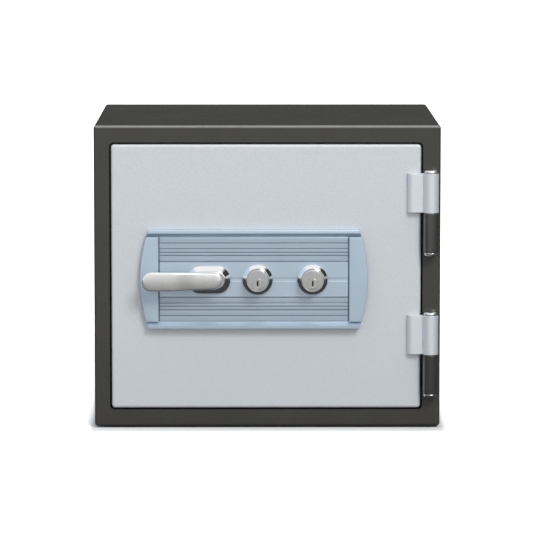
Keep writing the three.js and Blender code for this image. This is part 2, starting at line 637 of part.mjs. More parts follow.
// The extruded lock panel: a profile of rails, ribbed fields and a flat band, with curved ends.
function panelProfile() {
  const face = (p) => doorFace - p;
  const half = PANEL_H / 2;
  const ups = [[face(BAND_P), BAND_HALF], [face(FIELD_P), BAND_HALF]];
  for (const g of GROOVES) {
    const floor = face(FIELD_P - GROOVE_DEPTH);
    ups.push([face(FIELD_P), g - GROOVE_HALF], [floor, g - GROOVE_HALF], [floor, g + GROOVE_HALF]);
    ups.push([face(FIELD_P), g + GROOVE_HALF]);
  }
  ups.push([face(FIELD_P), railFoot], [face(RAIL_P), half - RAIL_LIP]);
  ups.push([face(RAIL_P), half - 1], [face(RAIL_P - 1), half]);
  ups.push([face(GAP), half], [face(GAP), half - PANEL_WEB]);
  ups.push([face(PANEL_HOLLOW), half - PANEL_WEB]);
  const downs = ups.map(([y, z]) => [y, -z]).reverse();
  const [low, high] = MID_GROOVE;
  const floor = face(BAND_P - GROOVE_DEPTH);
  const middle = [[face(BAND_P), low], [floor, low], [floor, high], [face(BAND_P), high]];
  return polygon([...downs, ...middle, ...ups]);
}

function curvedEnds(inset, y0, y1) {
  const half = PANEL_H / 2 + 1;
  const r = PANEL_END_R;
  const centre = PANEL_W / 2 - inset - r;
  const a = Math.asin(half / r);
  const s = new THREE.Shape();
  s.absarc(centre, 0, r, -a, a);
  s.absarc(-centre, 0, r, Math.PI - a, Math.PI + a);
  return plate(s, y0, y1, { curveSegments: 16 });
}

function lockPanel() {
  const bar = section(panelProfile(), -PANEL_W / 2, PANEL_W / 2);
  const ends = curvedEnds(0, doorFace - RAIL_P - 1, doorFace);
  const clear = (u, r) => hole(u, 0, r, doorFace - RAIL_P - 1, 1);
  const locks = Object.values(LOCKS_U).map((u) => clear(u, CYLINDER_BODY_R + GAP));
  // Beyond the ribs each end is milled flat for its cap, which leaves a fine joint line.
  const capEdge = PANEL_W / 2 - CAP_W - JOINT_LINE;
  const seat = (x0, x1) => box(x0, x1, doorFace - RAIL_P - 1, doorFace - capSeat, -railFoot, railFoot);
  const seats = [seat(-PANEL_W, -capEdge), seat(capEdge, PANEL_W)];
  return cut(bar.intersect(ends), ...locks, clear(HANDLE_U, 8), ...seats);
}

function panelCap(side) {
  const half = railFoot - GAP;
  const [y0, y1] = [doorFace - CAP_P, doorFace - capSeat - GAP];
  const straight = PANEL_W / 2 - CAP_W;
  const [x0, x1] = side === "left" ? [-PANEL_W, -straight] : [straight, PANEL_W];
  return curvedEnds(0, y0, y1).intersect(box(x0, x1, y0 - 1, y1 + 1, -half, half));
}

function escutcheon() {
  const r = rect(-ESC_HALF_W, ESC_HALF_W, -ESC_HALF_H, ESC_HALF_H);
  const [y0, y1] = [doorFace - ESC_TOP_P, doorFace - BAND_P - GAP];
  const options = { round: 6, slope: ESC_BEVEL, segments: 3, curveSegments: 6 };
  return cut(prism(r, y0, y1, ESC_CORNER, options), hole(-ESC_U, 0, 7, y0 - 1, y1 + 1, 24));
}

function lockCollar() {
  const [base, bore] = [BAND_P + GAP, CYLINDER_R + GAP];
  const edge = [[bore, base], [COLLAR_R, base], [COLLAR_R, base + COLLAR_EDGE]];
  const front = [[COLLAR_FRONT_R, COLLAR_P], [bore, COLLAR_P], [bore, base]];
  return turned([...edge, ...front], FRONT, 40).translate([0, doorFace, 0]);
}

function lockCylinder() {
  const back = doorFace - CYLINDER_BACK;
  const seat = BAND_P + GAP;
  const edge = [[CYLINDER_R, CYLINDER_P - 0.6], [CYLINDER_R - 0.6, CYLINDER_P], [0, CYLINDER_P]];
  const shank = [[0, back], [CYLINDER_BODY_R, back], [CYLINDER_BODY_R, seat]];
  const profile = [...shank, [CYLINDER_R, seat], ...edge];
  const body = turned(profile, FRONT, 32).translate([0, doorFace, 0]);
  return cut(body, hole(0, -KEY_DROP, KEY_PLUG_R + 0.15, doorFace - CYLINDER_P - 1, CYLINDER_BACK + 1));
}

function lockNut() {
  const [y0, y1] = [doorFace + SHEET + GAP, doorFace + SHEET + GAP + NUT_T];
  const hex = rod(NUT_FLATS / Math.sqrt(3), y0, y1, Y, 6);
  return cut(hex, hole(0, 0, CYLINDER_BODY_R + 0.15, y0 - 1, y1 + 1));
}

// The turning core of a lock about the key's axis: keyed face, plug and flat tail.
function keyPlug() {
  const front = doorFace - CYLINDER_P - 0.4;
  const core = hole(0, 0, KEY_PLUG_R, front, CYLINDER_BACK + 1, 28);
  const tail = box(-TAIL_W / 2, TAIL_W / 2, CYLINDER_BACK, BAR_Y + BAR_T + 2, -TAIL_T / 2, TAIL_T / 2);
  const keyway = box(-KEYWAY_W / 2, KEYWAY_W / 2, front - 1, front + KEYWAY_D, -KEYWAY_H / 2, KEYWAY_H / 2);
  return cut(join(core, tail), keyway);
}

// The cam on a lock's tail, pointing to +X when the key is upright.
function lockCam() {
  const [y0, y1] = [BAR_Y - 0.5, BAR_Y + BAR_T + 0.5];
  const tip = CAM_W / 2;
  const arm = box(0, CAM_LENGTH - tip, y0, y1, -tip, tip);
  const body = join(hole(0, 0, CAM_R, y0, y1, 24), arm, hole(CAM_LENGTH - tip, 0, tip, y0, y1, 20));
  const [w, t] = [TAIL_W / 2 + GAP, TAIL_T / 2 + GAP];
  return cut(body, box(-w, w, y0 - 1, y1 + 1, -t, t));
}

// ---- Handle, made about the spindle's axis ----
// The lever's thickness seen from above: a hub, an easy bend outwards, and a flat blade.
function leverPlan() {
  const y = (p) => doorFace - p;
  const s = new THREE.Shape();
  const back = BLADE_P - BLADE_T;
  s.moveTo(HUB_R, y(HUB_BACK_P));
  s.lineTo(HUB_R, y(HUB_P - 2));
  s.quadraticCurveTo(HUB_R, y(HUB_P), HUB_R - 2, y(HUB_P));
  s.lineTo(-10, y(HUB_P));
  s.bezierCurveTo(-22, y(HUB_P), -26, y(BLADE_P), -40, y(BLADE_P));
  s.lineTo(-BLADE_LENGTH + 4, y(BLADE_P));
  s.quadraticCurveTo(-BLADE_LENGTH, y(BLADE_P), -BLADE_LENGTH, y(BLADE_P - BLADE_T / 2));
  s.quadraticCurveTo(-BLADE_LENGTH, y(back), -BLADE_LENGTH + 4, y(back));
  s.lineTo(-38, y(back));
  s.bezierCurveTo(-24, y(back), -24, y(HUB_BACK_P + 2.5), -HUB_R, y(HUB_BACK_P + 1));
  s.lineTo(-HUB_R, y(HUB_BACK_P));
  return s;
}

// The lever seen from the front: a round hub, and a blade that widens to a round tip.
function leverFace() {
  const s = new THREE.Shape();
  const tip = -BLADE_LENGTH + BLADE_HALF;
  s.absarc(0, 0, HUB_R, -Math.PI / 2, Math.PI / 2);
  s.bezierCurveTo(-30, HUB_R, -45, BLADE_HALF, tip, BLADE_HALF);
  s.absarc(tip, 0, BLADE_HALF, Math.PI / 2, 1.5 * Math.PI);
  s.bezierCurveTo(-45, -BLADE_HALF, -30, -HUB_R, 0, -HUB_R);
  return s;
}

function handleLever() {
  const slab = pillar(leverPlan(), -BLADE_HALF - 1, BLADE_HALF + 1, 6);
  const outline = plate(leverFace(), doorFace - BLADE_P - 1, doorFace, { curveSegments: 12 });
  const half = SPINDLE / 2 + 0.15;
  const mouth = doorFace - HUB_BACK_P;
  const socket = box(-half, half, mouth - SOCKET_DEPTH, mouth + 1, -half, half);
  return cut(slab.intersect(outline), socket);
}

const spindleEnd = BAR_Y + BAR_T + 1.5 + CRANK_T + 1.5;

function handleSpindle() {
  const half = SPINDLE / 2;
  return box(-half, half, doorFace - HUB_BACK_P - SOCKET_DEPTH + GAP, spindleEnd, -half, half);
}

// The crank on the spindle's inner end. Its pin hangs below the axis and swings to the left.
function driveCrank() {
  const y0 = BAR_Y + BAR_T + 1.5;
  const y1 = y0 + CRANK_T;
  const lean = HANDLE_TURN / 2;
  const [px, pz] = [CRANK_R * Math.sin(lean), -CRANK_R * Math.cos(lean)];
  const arm = box(-6, 6, y0, y1, -CRANK_R, 0).rotate([0, -THREE.MathUtils.radToDeg(lean), 0]);
  const pin = hole(px, pz, CRANK_PIN_R, BAR_Y - 0.5, y1, 24);
  const half = SPINDLE / 2 + 0.15;
  const body = join(hole(0, 0, 11, y0, y1, 28), hole(px, pz, 7, y0, y1, 24), arm, pin);
  return cut(body, box(-half, half, y0 - 1, y1 + 1, -half, half));
}

// ---- Boltwork ----
function boltworkPlate() {
  const r = grow(plugFront, -PLATE_INSET);
  const body = block(r, PLATE_Y, PLATE_Y + PLATE_T);
  const [y0, y1] = [PLATE_Y - 1, PLATE_Y + PLATE_T + 1];
  const tails = Object.values(LOCKS_U).map((u) => hole(PANEL_X + u, keyZ, TAIL_W / 2 + 1.5, y0, y1, 20));
  return cut(body, ...tails, hole(handleX, panelZ, 7, y0, y1));
}

// An angle bracket with a foot on the plate and an upright that the bolts pass through.
function bracket(x, towards, y, r) {
  const foot0 = PLATE_Y + PLATE_T + GAP;
  const reach = 1.6 * BOLT_R;
  const [z0, z1] = [boltZ.lower - reach, boltZ.upper + reach];
  const span = (a, b) => [Math.min(a, b), Math.max(a, b)];
  const [f0, f1] = span(x, x + towards * GUIDE_FOOT);
  const [u0, u1] = span(x, x + towards * GUIDE_T);
  const footPlate = box(f0, f1, foot0, foot0 + PLATE_T, z0, z1);
  const body = join(footPlate, box(u0, u1, foot0, flangeBack - 1, z0, z1));
  const bores = Object.values(boltZ).map((z) => rod(r, u0 - 1, u1 + 1, X, 28).translate([0, y, z]));
  return cut(body, ...bores);
}

function boltBar() {
  const [y0, y1] = [BAR_Y, BAR_Y + BAR_T];
  const flangeX = boltInner + GAP;
  const reach = 1.4 * BOLT_R;
  const flange = box(flangeX, flangeX + BAR_T, y0, flangeBack, boltZ.lower - reach, boltZ.upper + reach);
  const arm = box(flangeX, PANEL_X + BAR_RIGHT, y0, y1, panelZ - BAR_BOTTOM, panelZ - BAR_TOP);
  const through = (x0, x1, z0, z1) => box(x0, x1, y0 - 1, y1 + 1, z0, z1);
  // The crank pin's slot is tall enough for the pin's rise and fall.
  const pinX = handleX + CRANK_R * Math.sin(HANDLE_TURN / 2);
  const pinHigh = panelZ - CRANK_R * Math.cos(HANDLE_TURN / 2);
  const wide = CRANK_PIN_R + 0.5;
  const pinSlot = through(pinX - wide, pinX + wide, panelZ - CRANK_R - wide, pinHigh + wide);
  // Each notch clears its lock's cam through the bar's whole travel.
  const sweep = Math.hypot(CAM_LENGTH, CAM_W / 2);
  const notches = Object.values(LOCKS_U).map((u) => {
    const x = PANEL_X + u;
    return through(x - CAM_W / 2 - 2, x + boltTravel + sweep - 1, keyZ - CAM_LENGTH - 3, panelZ);
  });
  const slots = STUDS_U.map((u) => {
    const [x, z, r] = [PANEL_X + u, panelZ - STUD_DROP, STUD_R + 0.3];
    return through(x - r - 0.5, x + boltTravel + r + 0.5, z - r, z + r);
  });
  return cut(join(flange, arm), pinSlot, ...notches, ...slots);
}

// A live bolt along X about its own axis, with a chamfered tip on the left.
function liveBolt() {
  const start = -boltInner;
  const end = -boltTip;
  return turned([[0, start], [BOLT_R, start], [BOLT_R, end - 1.5], [BOLT_R - 1.5, end], [0, end]], LEFT);
}

function fixedBolt() {
  const head0 = bracketX - GUIDE_T - GAP - 4;
  const end = plugRear.x1 + FIXED_BOLT_OUT;
  const shank = FIXED_BOLT_R;
  const profile = [[0, head0], [shank + 2, head0], [shank + 2, head0 + 4], [shank, head0 + 4]];
  return turned([...profile, [shank, end - 1.5], [shank - 1.5, end], [0, end]], X);
}

// A shoulder stud that guides the bolt bar.
function guideStud() {
  const foot0 = PLATE_Y + PLATE_T + GAP;
  const head = BAR_Y + BAR_T + GAP;
  const neck = BAR_Y - GAP;
  const profile = [[0, foot0], [5, foot0], [5, neck], [STUD_R, neck], [STUD_R, head], [5, head]];
  return turned([...profile, [5, head + 1.2], [0, head + 1.2]], Y, 20);
}

// ---- Assembly ----
const safe = new THREE.Group();
// The frame's origin is the middle of the overall footprint, with the lever's reach counted.
safe.position.y = (leverReach - CASING_D) / 2;

function group(parent, x = 0, y = 0, z = 0) {
  const g = new THREE.Group();
  g.position.set(x, y, z);
  parent.add(g);
  return g;
}

function add(parent, name, body, material, x = 0, y = 0, z = 0) {
  const mesh = new THREE.Mesh(surface(body), material);
  mesh.name = name;
  mesh.position.set(x, y, z);
  parent.add(mesh);
}

const body = group(safe);
add(body, "outer_casing", outerCasing(), DARK_PAINT);
add(body, "rear_panel", rearPanel(), DARK_PAINT);
add(body, "door_frame", doorFrame(), DARK_PAINT);
add(body, "body_insulation", bodyInsulation(), FIRE_FILL);
add(body, "liner_collar", linerCollar(), LINER_PLASTIC);
add(body, "inner_liner", innerLiner(), LINER_PLASTIC);
add(body, "shelf", shelf(), LINER_PLASTIC);
for (const [place, [x, y]] of Object.entries(footPlaces)) add(body, `foot_${place}`, foot(), RUBBER, x, y);
for (const [side, [x, y]] of Object.entries(anchorPlaces)) {
  add(body, `anchor_sleeve_${side}`, anchorSleeve(), STEEL, x, y);
  add(body, `anchor_plug_${side}`, anchorPlug(), LINER_PLASTIC, x, y, cavity.z0);
}
add(body, "bolt_keeper_plate", keeper("left"), STEEL);
add(body, "hinge_keeper_plate", keeper("right"), STEEL);

// The door turns about the hinge axis, so its group stands there.
const door = group(safe, hinge.x, hinge.y);
const doorPieces = group(door, -hinge.x, -hinge.y);
for (const [level, z] of Object.entries(hingeZ)) {
  const knuckles = group(body, hinge.x, hinge.y, z);
  add(knuckles, `${level}_frame_knuckle`, frameKnuckle(), DARK_GLOSS);
  add(knuckles, `${level}_hinge_pin`, hingePin(), CHROME);
  add(knuckles, `${level}_pin_cap`, pinCap(), CHROME);
  add(door, `${level}_door_knuckle`, doorKnuckle(), PALE_PAINT, 0, 0, z);
}

add(doorPieces, "door_skin", doorSkin(), PALE_PAINT);
add(doorPieces, "door_insulation", doorInsulation(), FIRE_FILL);
add(doorPieces, "door_liner", doorLiner(), LINER_PLASTIC);
add(doorPieces, "door_seal", doorSeal(), RUBBER);
add(doorPieces, "boltwork_plate", boltworkPlate(), STEEL);
linerScrewPlaces().forEach(([x, z], i) =>
  add(doorPieces, `liner_screw_${i + 1}`, linerScrew(), STEEL, x, 0, z),
);
add(doorPieces, "bolt_guide", bracket(guideX, 1, BOLT_Y, BOLT_R + BOLT_CLEAR), STEEL);
add(doorPieces, "fixed_bolt_bracket", bracket(bracketX, -1, FIXED_BOLT_Y, FIXED_BOLT_R + GAP), STEEL);
for (const [level, z] of Object.entries(boltZ)) {
  add(doorPieces, `${level}_fixed_bolt`, fixedBolt(), SATIN, 0, FIXED_BOLT_Y, z);
}
STUDS_U.forEach((u, i) =>
  add(
    doorPieces,
    `guide_stud_${["left", "right"][i]}`,
    guideStud(),
    BRASS,
    PANEL_X + u,
    0,
    panelZ - STUD_DROP,
  ),
);

const panel = group(doorPieces, PANEL_X, 0, panelZ);
add(panel, "lock_panel", lockPanel(), ANODISED);
for (const side of ["left", "right"]) add(panel, `panel_cap_${side}`, panelCap(side), ANODISED);

const handle = group(panel, HANDLE_U);
add(handle, "handle_escutcheon", escutcheon(), CHROME, ESC_U);
add(handle, "handle_lever", handleLever(), SATIN);
add(handle, "handle_spindle", handleSpindle(), STEEL);
add(handle, "drive_crank", driveCrank(), STEEL);

for (const [side, u] of Object.entries(LOCKS_U)) {
  const lock = group(panel, u);
  add(lock, `${side}_lock_collar`, lockCollar(), CHROME);
  add(lock, `${side}_lock_cylinder`, lockCylinder(), SATIN);
  add(lock, `${side}_lock_nut`, lockNut(), BRASS);
  const key = group(lock, 0, 0, -KEY_DROP);
  add(key, `${side}_key_plug`, keyPlug(), SATIN);
  add(key, `${side}_lock_cam`, lockCam(), STEEL);
}

const bolts = group(doorPieces);
add(bolts, "bolt_bar", boltBar(), STEEL);
for (const [level, z] of Object.entries(boltZ)) {
  add(bolts, `${level}_live_bolt`, liveBolt(), SATIN, 0, BOLT_Y, z);
}

export default safe;
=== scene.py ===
"""The looks of a small fire-resistant safe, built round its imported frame."""

import math

import bpy
import numpy as np
from mathutils import Euler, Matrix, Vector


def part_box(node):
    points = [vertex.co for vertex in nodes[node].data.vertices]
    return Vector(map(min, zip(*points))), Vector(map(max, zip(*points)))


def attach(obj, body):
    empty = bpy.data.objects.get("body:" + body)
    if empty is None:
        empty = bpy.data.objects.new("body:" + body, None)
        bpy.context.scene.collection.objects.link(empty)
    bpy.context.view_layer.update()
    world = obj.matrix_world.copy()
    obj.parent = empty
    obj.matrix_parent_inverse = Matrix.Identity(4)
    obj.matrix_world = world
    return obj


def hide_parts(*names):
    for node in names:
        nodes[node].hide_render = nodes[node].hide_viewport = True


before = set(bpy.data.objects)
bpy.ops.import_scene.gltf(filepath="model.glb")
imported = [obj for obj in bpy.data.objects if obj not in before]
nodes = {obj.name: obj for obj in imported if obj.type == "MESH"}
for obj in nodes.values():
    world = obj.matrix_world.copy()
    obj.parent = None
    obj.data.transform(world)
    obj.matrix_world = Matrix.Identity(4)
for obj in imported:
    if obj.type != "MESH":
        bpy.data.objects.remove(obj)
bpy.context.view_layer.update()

MM = 0.001
AROUND = 96  # points round a turned piece


def corners_of(node):
    """A node's lowest and highest corners at rest, in millimetres."""
    low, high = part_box(node)
    return np.array(low, float) / MM, np.array(high, float) / MM


casing_low, casing_high = corners_of("outer_casing")
door_low, door_high = corners_of("door_skin")
panel_low, panel_high = corners_of("lock_panel")
spindle_low, spindle_high = corners_of("handle_spindle")
DOOR_FACE = door_low[1]
CASING_FACE = casing_low[1]
PANEL = (panel_low + panel_high) / 2
HANDLE = (spindle_low + spindle_high) / 2
HINGE = np.mean(corners_of("upper_hinge_pin"), axis=0)
PANEL_HALF_W = (panel_high[0] - panel_low[0]) / 2
PANEL_HALF_H = (panel_high[2] - panel_low[2]) / 2
END_R = 180.0  # radius of the panel's curved ends
RAIL_FOOT = PANEL_HALF_H - 8.6  # where a rail's slope meets the ribs, from the panel's middle
NOSE_WIDTH = 4  # of a rail's flat nose
CAP_INNER, RIBS_END = PANEL_HALF_W - 22, PANEL_HALF_W - 23.2
GROOVES = (21.4, 28.4, 32.3, 36.5, 43.4)  # above and below the panel's middle
# Heights in front of the door's face.
SEAT, BAND_TOP, CAP_TOP, RAIL_TOP = 5.3, 8, 9.6, 11
GROOVE_FLOOR, RIB_RISE = 4.6, 1.55
LOCK_SEAT, LOCK_FACE, KEY_FACE = 8.3, 24, 24.3
LOCK_BACK, KEY_BACK = -13.5, -14.5


# ---- Finishes ----

class Wire:
    """A value in a node tree; arithmetic on it adds Math nodes."""

    def __init__(self, graph, socket):
        self.graph, self.socket = graph, socket

    def maths(self, operation, *terms):
        return self.graph.node("ShaderNodeMath", {"operation": operation}, dict(enumerate(terms)))

    def __add__(self, other):
        return self.maths("ADD", self, other)

    def __sub__(self, other):
        return self.maths("SUBTRACT", self, other)

    def __rsub__(self, other):
        return self.maths("SUBTRACT", other, self)

    def __mul__(self, other):
        return self.maths("MULTIPLY", self, other)

    def __truediv__(self, other):
        return self.maths("DIVIDE", self, other)

    def __pow__(self, other):
        return self.maths("POWER", self, other)

    __radd__ = __add__
    __rmul__ = __mul__

    def over(self, low, high):
        """0 below low, 1 above high, eased between them."""
        inputs = {"Value": self, "From Min": low, "From Max": high}
        return self.graph.node("ShaderNodeMapRange", {"interpolation_type": "SMOOTHSTEP"}, inputs)


class Graph:
    """Adds nodes to a tree."""

    def __init__(self, tree):
        self.tree = tree

    def node(self, kind, settings=None, inputs=None, output=0):
        """Adds a node: its settings first, then its sockets' values or links."""
        made = self.tree.nodes.new(kind)
        for key, value in (settings or {}).items():
            setattr(made, key, value)
        for key, value in (inputs or {}).items():
            self.join(value, made.inputs[key])
        return Wire(self, made.outputs[output]) if made.outputs else None

    def join(self, value, socket):
        if isinstance(value, Wire):
            self.tree.links.new(value.socket, socket)
        else:
            socket.default_value = value

    def tint(self, mask, first, second):
        """The first colour where mask is 0, the second where it is 1."""
        colours = [c if isinstance(c, Wire) else (*c, 1.0) for c in (first, second)]
        inputs = {0: mask, 6: colours[0], 7: colours[1]}
        return self.node("ShaderNodeMix", {"data_type": "RGBA"}, inputs, 2)


class Finish(Graph):
    """A named material on one Principled shader."""

    def __init__(self, name, color, roughness, metallic=0.0, **constants):
        self.material = bpy.data.materials.new(name)
        self.material.use_nodes = True
        super().__init__(self.material.node_tree)
        self.shader = next(n for n in self.tree.nodes if n.type == "BSDF_PRINCIPLED")
        self.set(**{"Base Color": (*color, 1.0), "Roughness": roughness, "Metallic": metallic})
        self.set(**{key.replace("_", " "): value for key, value in constants.items()})

    def set(self, **values):
        for key, value in values.items():
            self.join(value, self.shader.inputs[key])

    def place(self, stretch=(1, 1, 1), origin=(0, 0, 0)):
        """Object coordinates measured from origin in millimetres, then stretched."""
        point = self.node("ShaderNodeTexCoord", output=3)
        inputs = {0: point, 1: tuple(-v * MM for v in origin)}
        moved = self.node("ShaderNodeVectorMath", {"operation": "ADD"}, inputs)
        inputs = {0: moved, 1: tuple(v / MM for v in stretch)}
        return self.node("ShaderNodeVectorMath", {"operation": "MULTIPLY"}, inputs)

    def dimmed(self, colour, share):
        """A colour's share of its own light."""
        inputs = {0: 1.0, 6: colour, 7: (share, share, share, 1)}
        return self.node("ShaderNodeMix", {"data_type": "RGBA", "blend_type": "MULTIPLY"}, inputs, 2)

    def axes(self, vector):
        return [self.node("ShaderNodeSeparateXYZ", None, {0: vector}, i) for i in range(3)]

    def noise(self, vector, scale, detail=2.0, roughness=0.5):
        """Noise about 0.5 whose features repeat scale times in a millimetre."""
        inputs = {"Vector": vector, "Scale": scale, "Detail": detail, "Roughness": roughness}
        return self.node("ShaderNodeTexNoise", None, inputs)

    def cells(self, vector, scale, feature="F1"):
        return self.node("ShaderNodeTexVoronoi", {"feature": feature}, {"Vector": vector, "Scale": scale})

    def relief(self, height, depth, strength=1.0):
        """Bumps of the given depth in millimetres."""
        inputs = {"Height": height, "Distance": depth * MM, "Strength": strength}
        return self.node("ShaderNodeBump", None, inputs)


def shade(*rgb):
    """A colour of 0 to 255 values as light."""
    return tuple((v / 255 / 12.92) if v <= 10 else ((v / 255 + 0.055) / 1.055) ** 2.4 for v in rgb)


def dark_enamel():
    """Baked warm-grey enamel with a fine orange peel, and a painted highlight along the top front edge."""
    f = Finish("dark_enamel", shade(66, 65, 61), 0.28, Specular_IOR_Level=0.4)
    p = f.place()
    cloud, peel, grit = f.noise(p, 0.012), f.noise(p, 0.9, 1.0), f.noise(p, 3.2, 1.0)
    _, back, down = f.axes(f.place(origin=(0, CASING_FACE, casing_high[2])))
    # Painted highlight: the top front edge is painted lighter, broken up by noise.
    painted_edge_highlight = (1 - (back - down).over(0.8, 3.6)) * (0.5 + 0.5 * f.noise(p, 0.05, 3.0))
    base = f.tint(cloud * 0.6 + grit * 0.4, shade(55, 54, 51), shade(66, 65, 61))
    f.set(**{"Base Color": f.tint(painted_edge_highlight, base, shade(172, 171, 166))})
    f.set(Roughness=0.2 + 0.08 * cloud + 0.05 * grit, Normal=f.relief(peel + 0.4 * grit, 0.03, 0.5))
    return f.material


def gloss_enamel():
    """Glossy near-black enamel of the frame's hinge knuckles."""
    f = Finish("gloss_enamel", shade(50, 49, 46), 0.2, IOR=1.8, Coat_Weight=0.5, Coat_Roughness=0.08)
    p = f.place()
    peel, dust_and_shade = f.noise(p, 0.7, 1.0), f.noise(p, 2.5, 3.0)
    f.set(**{"Base Color": f.tint(dust_and_shade.over(0.45, 0.75), shade(46, 45, 42), shade(56, 55, 51))})
    f.set(Roughness=0.2 + 0.1 * dust_and_shade, Normal=f.relief(peel, 0.02, 0.5))
    return f.material


def silver_enamel(name="silver_enamel", gleam=0.3, painted_lift=0.0):
    """Pale silver enamel with a fine hammered texture, painted lighter towards the top as painted light;
    the more gleam, the more metal shows, and the lift paints the whole finish lighter.
    """
    f = Finish(name, shade(206, 210, 214), 0.42, gleam)
    p = f.place()
    cloud, peel, fleck = f.noise(p, 0.01), f.noise(p, 1.1, 2.0), f.cells(p, 2.6)
    # Painted light: the paint runs lighter towards the top and darker towards the bottom.
    up = f.axes(f.place(origin=(0, 0, door_low[2])))[2] / float(door_high[2] - door_low[2])
    # The lift shifts every tint towards its lighter colour, as painted light.
    base = f.tint(up + painted_lift, shade(198, 203, 207), shade(208, 212, 216))
    dimple = f.tint(peel.over(0.35, 0.65) + painted_lift, shade(190, 195, 200), base)
    f.set(**{"Base Color": f.tint(fleck.over(0.1, 0.5) * 0.2 + painted_lift, dimple, shade(234, 238, 242))})
    f.set(Roughness=0.36 + 0.14 * peel + 0.04 * cloud, Normal=f.relief(peel + 0.25 * cloud, 0.06, 0.7))
    return f.material


def anodised(name, base, light, fluted):
    """Satin blue anodised aluminium with an extrusion's draw lines, painted darker where it is fluted as
    painted shade.

    Painted shade darkens the grooves, the ribs' ends beside the caps and the upper rail's hollow.
    """
    f = Finish(name, shade(*base), 0.38, 0.6)
    lines = f.noise(f.place((0.004, 1, 1)), 3.0, 3.0, 0.6)
    fine, cloud = f.noise(f.place((0.05, 1, 1)), 9.0, 1.0), f.noise(f.place(), 0.02)
    tone = f.tint((lines - 0.5) * 1.2 + cloud * 0.7, shade(*base), shade(*light))
    if fluted:
        sideways, _, height = f.axes(f.place(origin=PANEL))
        away = (height * height) ** 0.5
        # Painted shade: darker towards the caps, in each groove and on the upper rail's hollow slope.
        dust_and_shade = ((sideways * sideways) ** 0.5).over(CAP_INNER - 1.7, CAP_INNER - 0.9)
        for groove in GROOVES:
            dust_and_shade = dust_and_shade + 0.5 - 0.5 * (((away - groove) ** 2) ** 0.5).over(0.35, 0.85)
        hollow = height.over(50.4, 51) * (1 - height.over(54.8, 55.8))
        dust_and_shade = dust_and_shade * (1 - away.over(50, 50.4)) + 0.35 * hollow
        # Painted shade: the fluted zone is a darker copy of the band's colour.
        flutes = away.over(20.8, 21.6) * (1 - away.over(49.6, 50.6))
        dull_and_shade = f.tint(flutes, tone, f.dimmed(tone, 0.86))
        f.set(**{"Base Color": f.tint(dust_and_shade, dull_and_shade, f.dimmed(tone, 0.4))})
    else:
        f.set(**{"Base Color": tone})
    f.set(Roughness=0.32 + 0.1 * lines + 0.06 * fine, Normal=f.relief(lines + 0.5 * fine, 0.02, 0.4))
    return f.material


def chrome():
    """Bright chrome plate with the faintest polishing haze."""
    f = Finish("chrome_plate", (0.82, 0.83, 0.84), 0.06, 1.0)
    p = f.place()
    haze, ripple = f.noise(p, 0.35, 3.0), f.noise(p, 0.09, 1.0)
    f.set(**{"Base Color": f.tint(haze, (0.78, 0.79, 0.8), (0.86, 0.87, 0.88))})
    f.set(Roughness=0.04 + 0.07 * haze.over(0.4, 0.8), Normal=f.relief(ripple, 0.05, 0.25))
    return f.material


def satin_lever():
    """Satin nickel, brushed along the lever."""
    f = Finish("satin_nickel", shade(240, 240, 238), 0.3, 1.0)
    grain = f.noise(f.place((0.03, 0.6, 1)), 5.0, 4.0, 0.65)
    cloud = f.noise(f.place(), 0.05)
    f.set(**{"Base Color": f.tint(grain * 0.7 + cloud * 0.3, shade(232, 232, 230), shade(250, 250, 248))})
    f.set(Roughness=0.22 + 0.14 * grain, Normal=f.relief(grain, 0.03, 0.5))
    return f.material


def machined(name, centre, colours, pitch, mouth=1000.0):
    """Turned metal whose tool marks are rings about the centre, painted dark behind the mouth as shade
    inside the keyway.
    """
    f = Finish(name, shade(*colours[0]), 0.28, 1.0)
    x, y, z = f.axes(f.place(origin=centre))
    radius = (x * x + z * z) ** 0.5
    marks = (radius * (2 * math.pi / pitch)).maths("SINE", radius * (2 * math.pi / pitch))
    wander = f.noise(f.node("ShaderNodeCombineXYZ", None, {0: radius}), 2.2, 3.0)
    tone = marks * 0.2 + wander
    clean = f.tint(tone.over(0.2, 0.9), shade(*colours[0]), shade(*colours[1]))
    # Painted shade: behind the mouth the metal is painted near black.
    f.set(**{"Base Color": f.tint(y.over(mouth, mouth + 0.8), clean, shade(34, 34, 33))})
    f.set(Roughness=0.24 + 0.16 * wander, Normal=f.relief(marks * 0.4 + wander, 0.006, 0.5))
    return f.material


def ground_bolt():
    """Ground steel of the bolts, with rings along X and a film of oil."""
    f = Finish("ground_steel", shade(176, 178, 180), 0.28, 1.0)
    rings = f.noise(f.place((1, 0.02, 0.02)), 4.0, 3.0, 0.7)
    film = f.noise(f.place(), 0.12, 2.0)
    f.set(**{"Base Color": f.tint(rings * 0.6 + film * 0.4, shade(150, 152, 154), shade(200, 202, 204))})
    f.set(Roughness=0.2 + 0.25 * film, Normal=f.relief(rings, 0.02, 0.5))
    return f.material


def zinc_plate():
    """Zinc-plated sheet steel with faint spangle and rolling lines."""
    f = Finish("zinc_plate", shade(158, 161, 165), 0.4, 0.9)
    p = f.place()
    spangle, roll, stain = f.cells(p, 0.16), f.noise(f.place((1, 1, 0.03)), 2.5, 3.0), f.noise(p, 0.03)
    tone = spangle * 0.5 + roll * 0.3 + stain * 0.3
    f.set(**{"Base Color": f.tint(tone, shade(138, 141, 146), shade(182, 185, 188))})
    f.set(Roughness=0.3 + 0.2 * roll + 0.1 * stain, Normal=f.relief(roll, 0.02, 0.4))
    return f.material


def brass():
    """Turned brass, slightly dulled."""
    f = Finish("dull_brass", shade(178, 148, 88), 0.34, 1.0)
    dull_and_shade, fine = f.noise(f.place(), 0.2, 3.0), f.noise(f.place((1, 6, 1)), 2.0, 2.0)
    f.set(**{"Base Color": f.tint(dull_and_shade, shade(154, 124, 68), shade(196, 168, 106))})
    f.set(Roughness=0.26 + 0.22 * dull_and_shade, Normal=f.relief(fine, 0.02, 0.4))
    return f.material


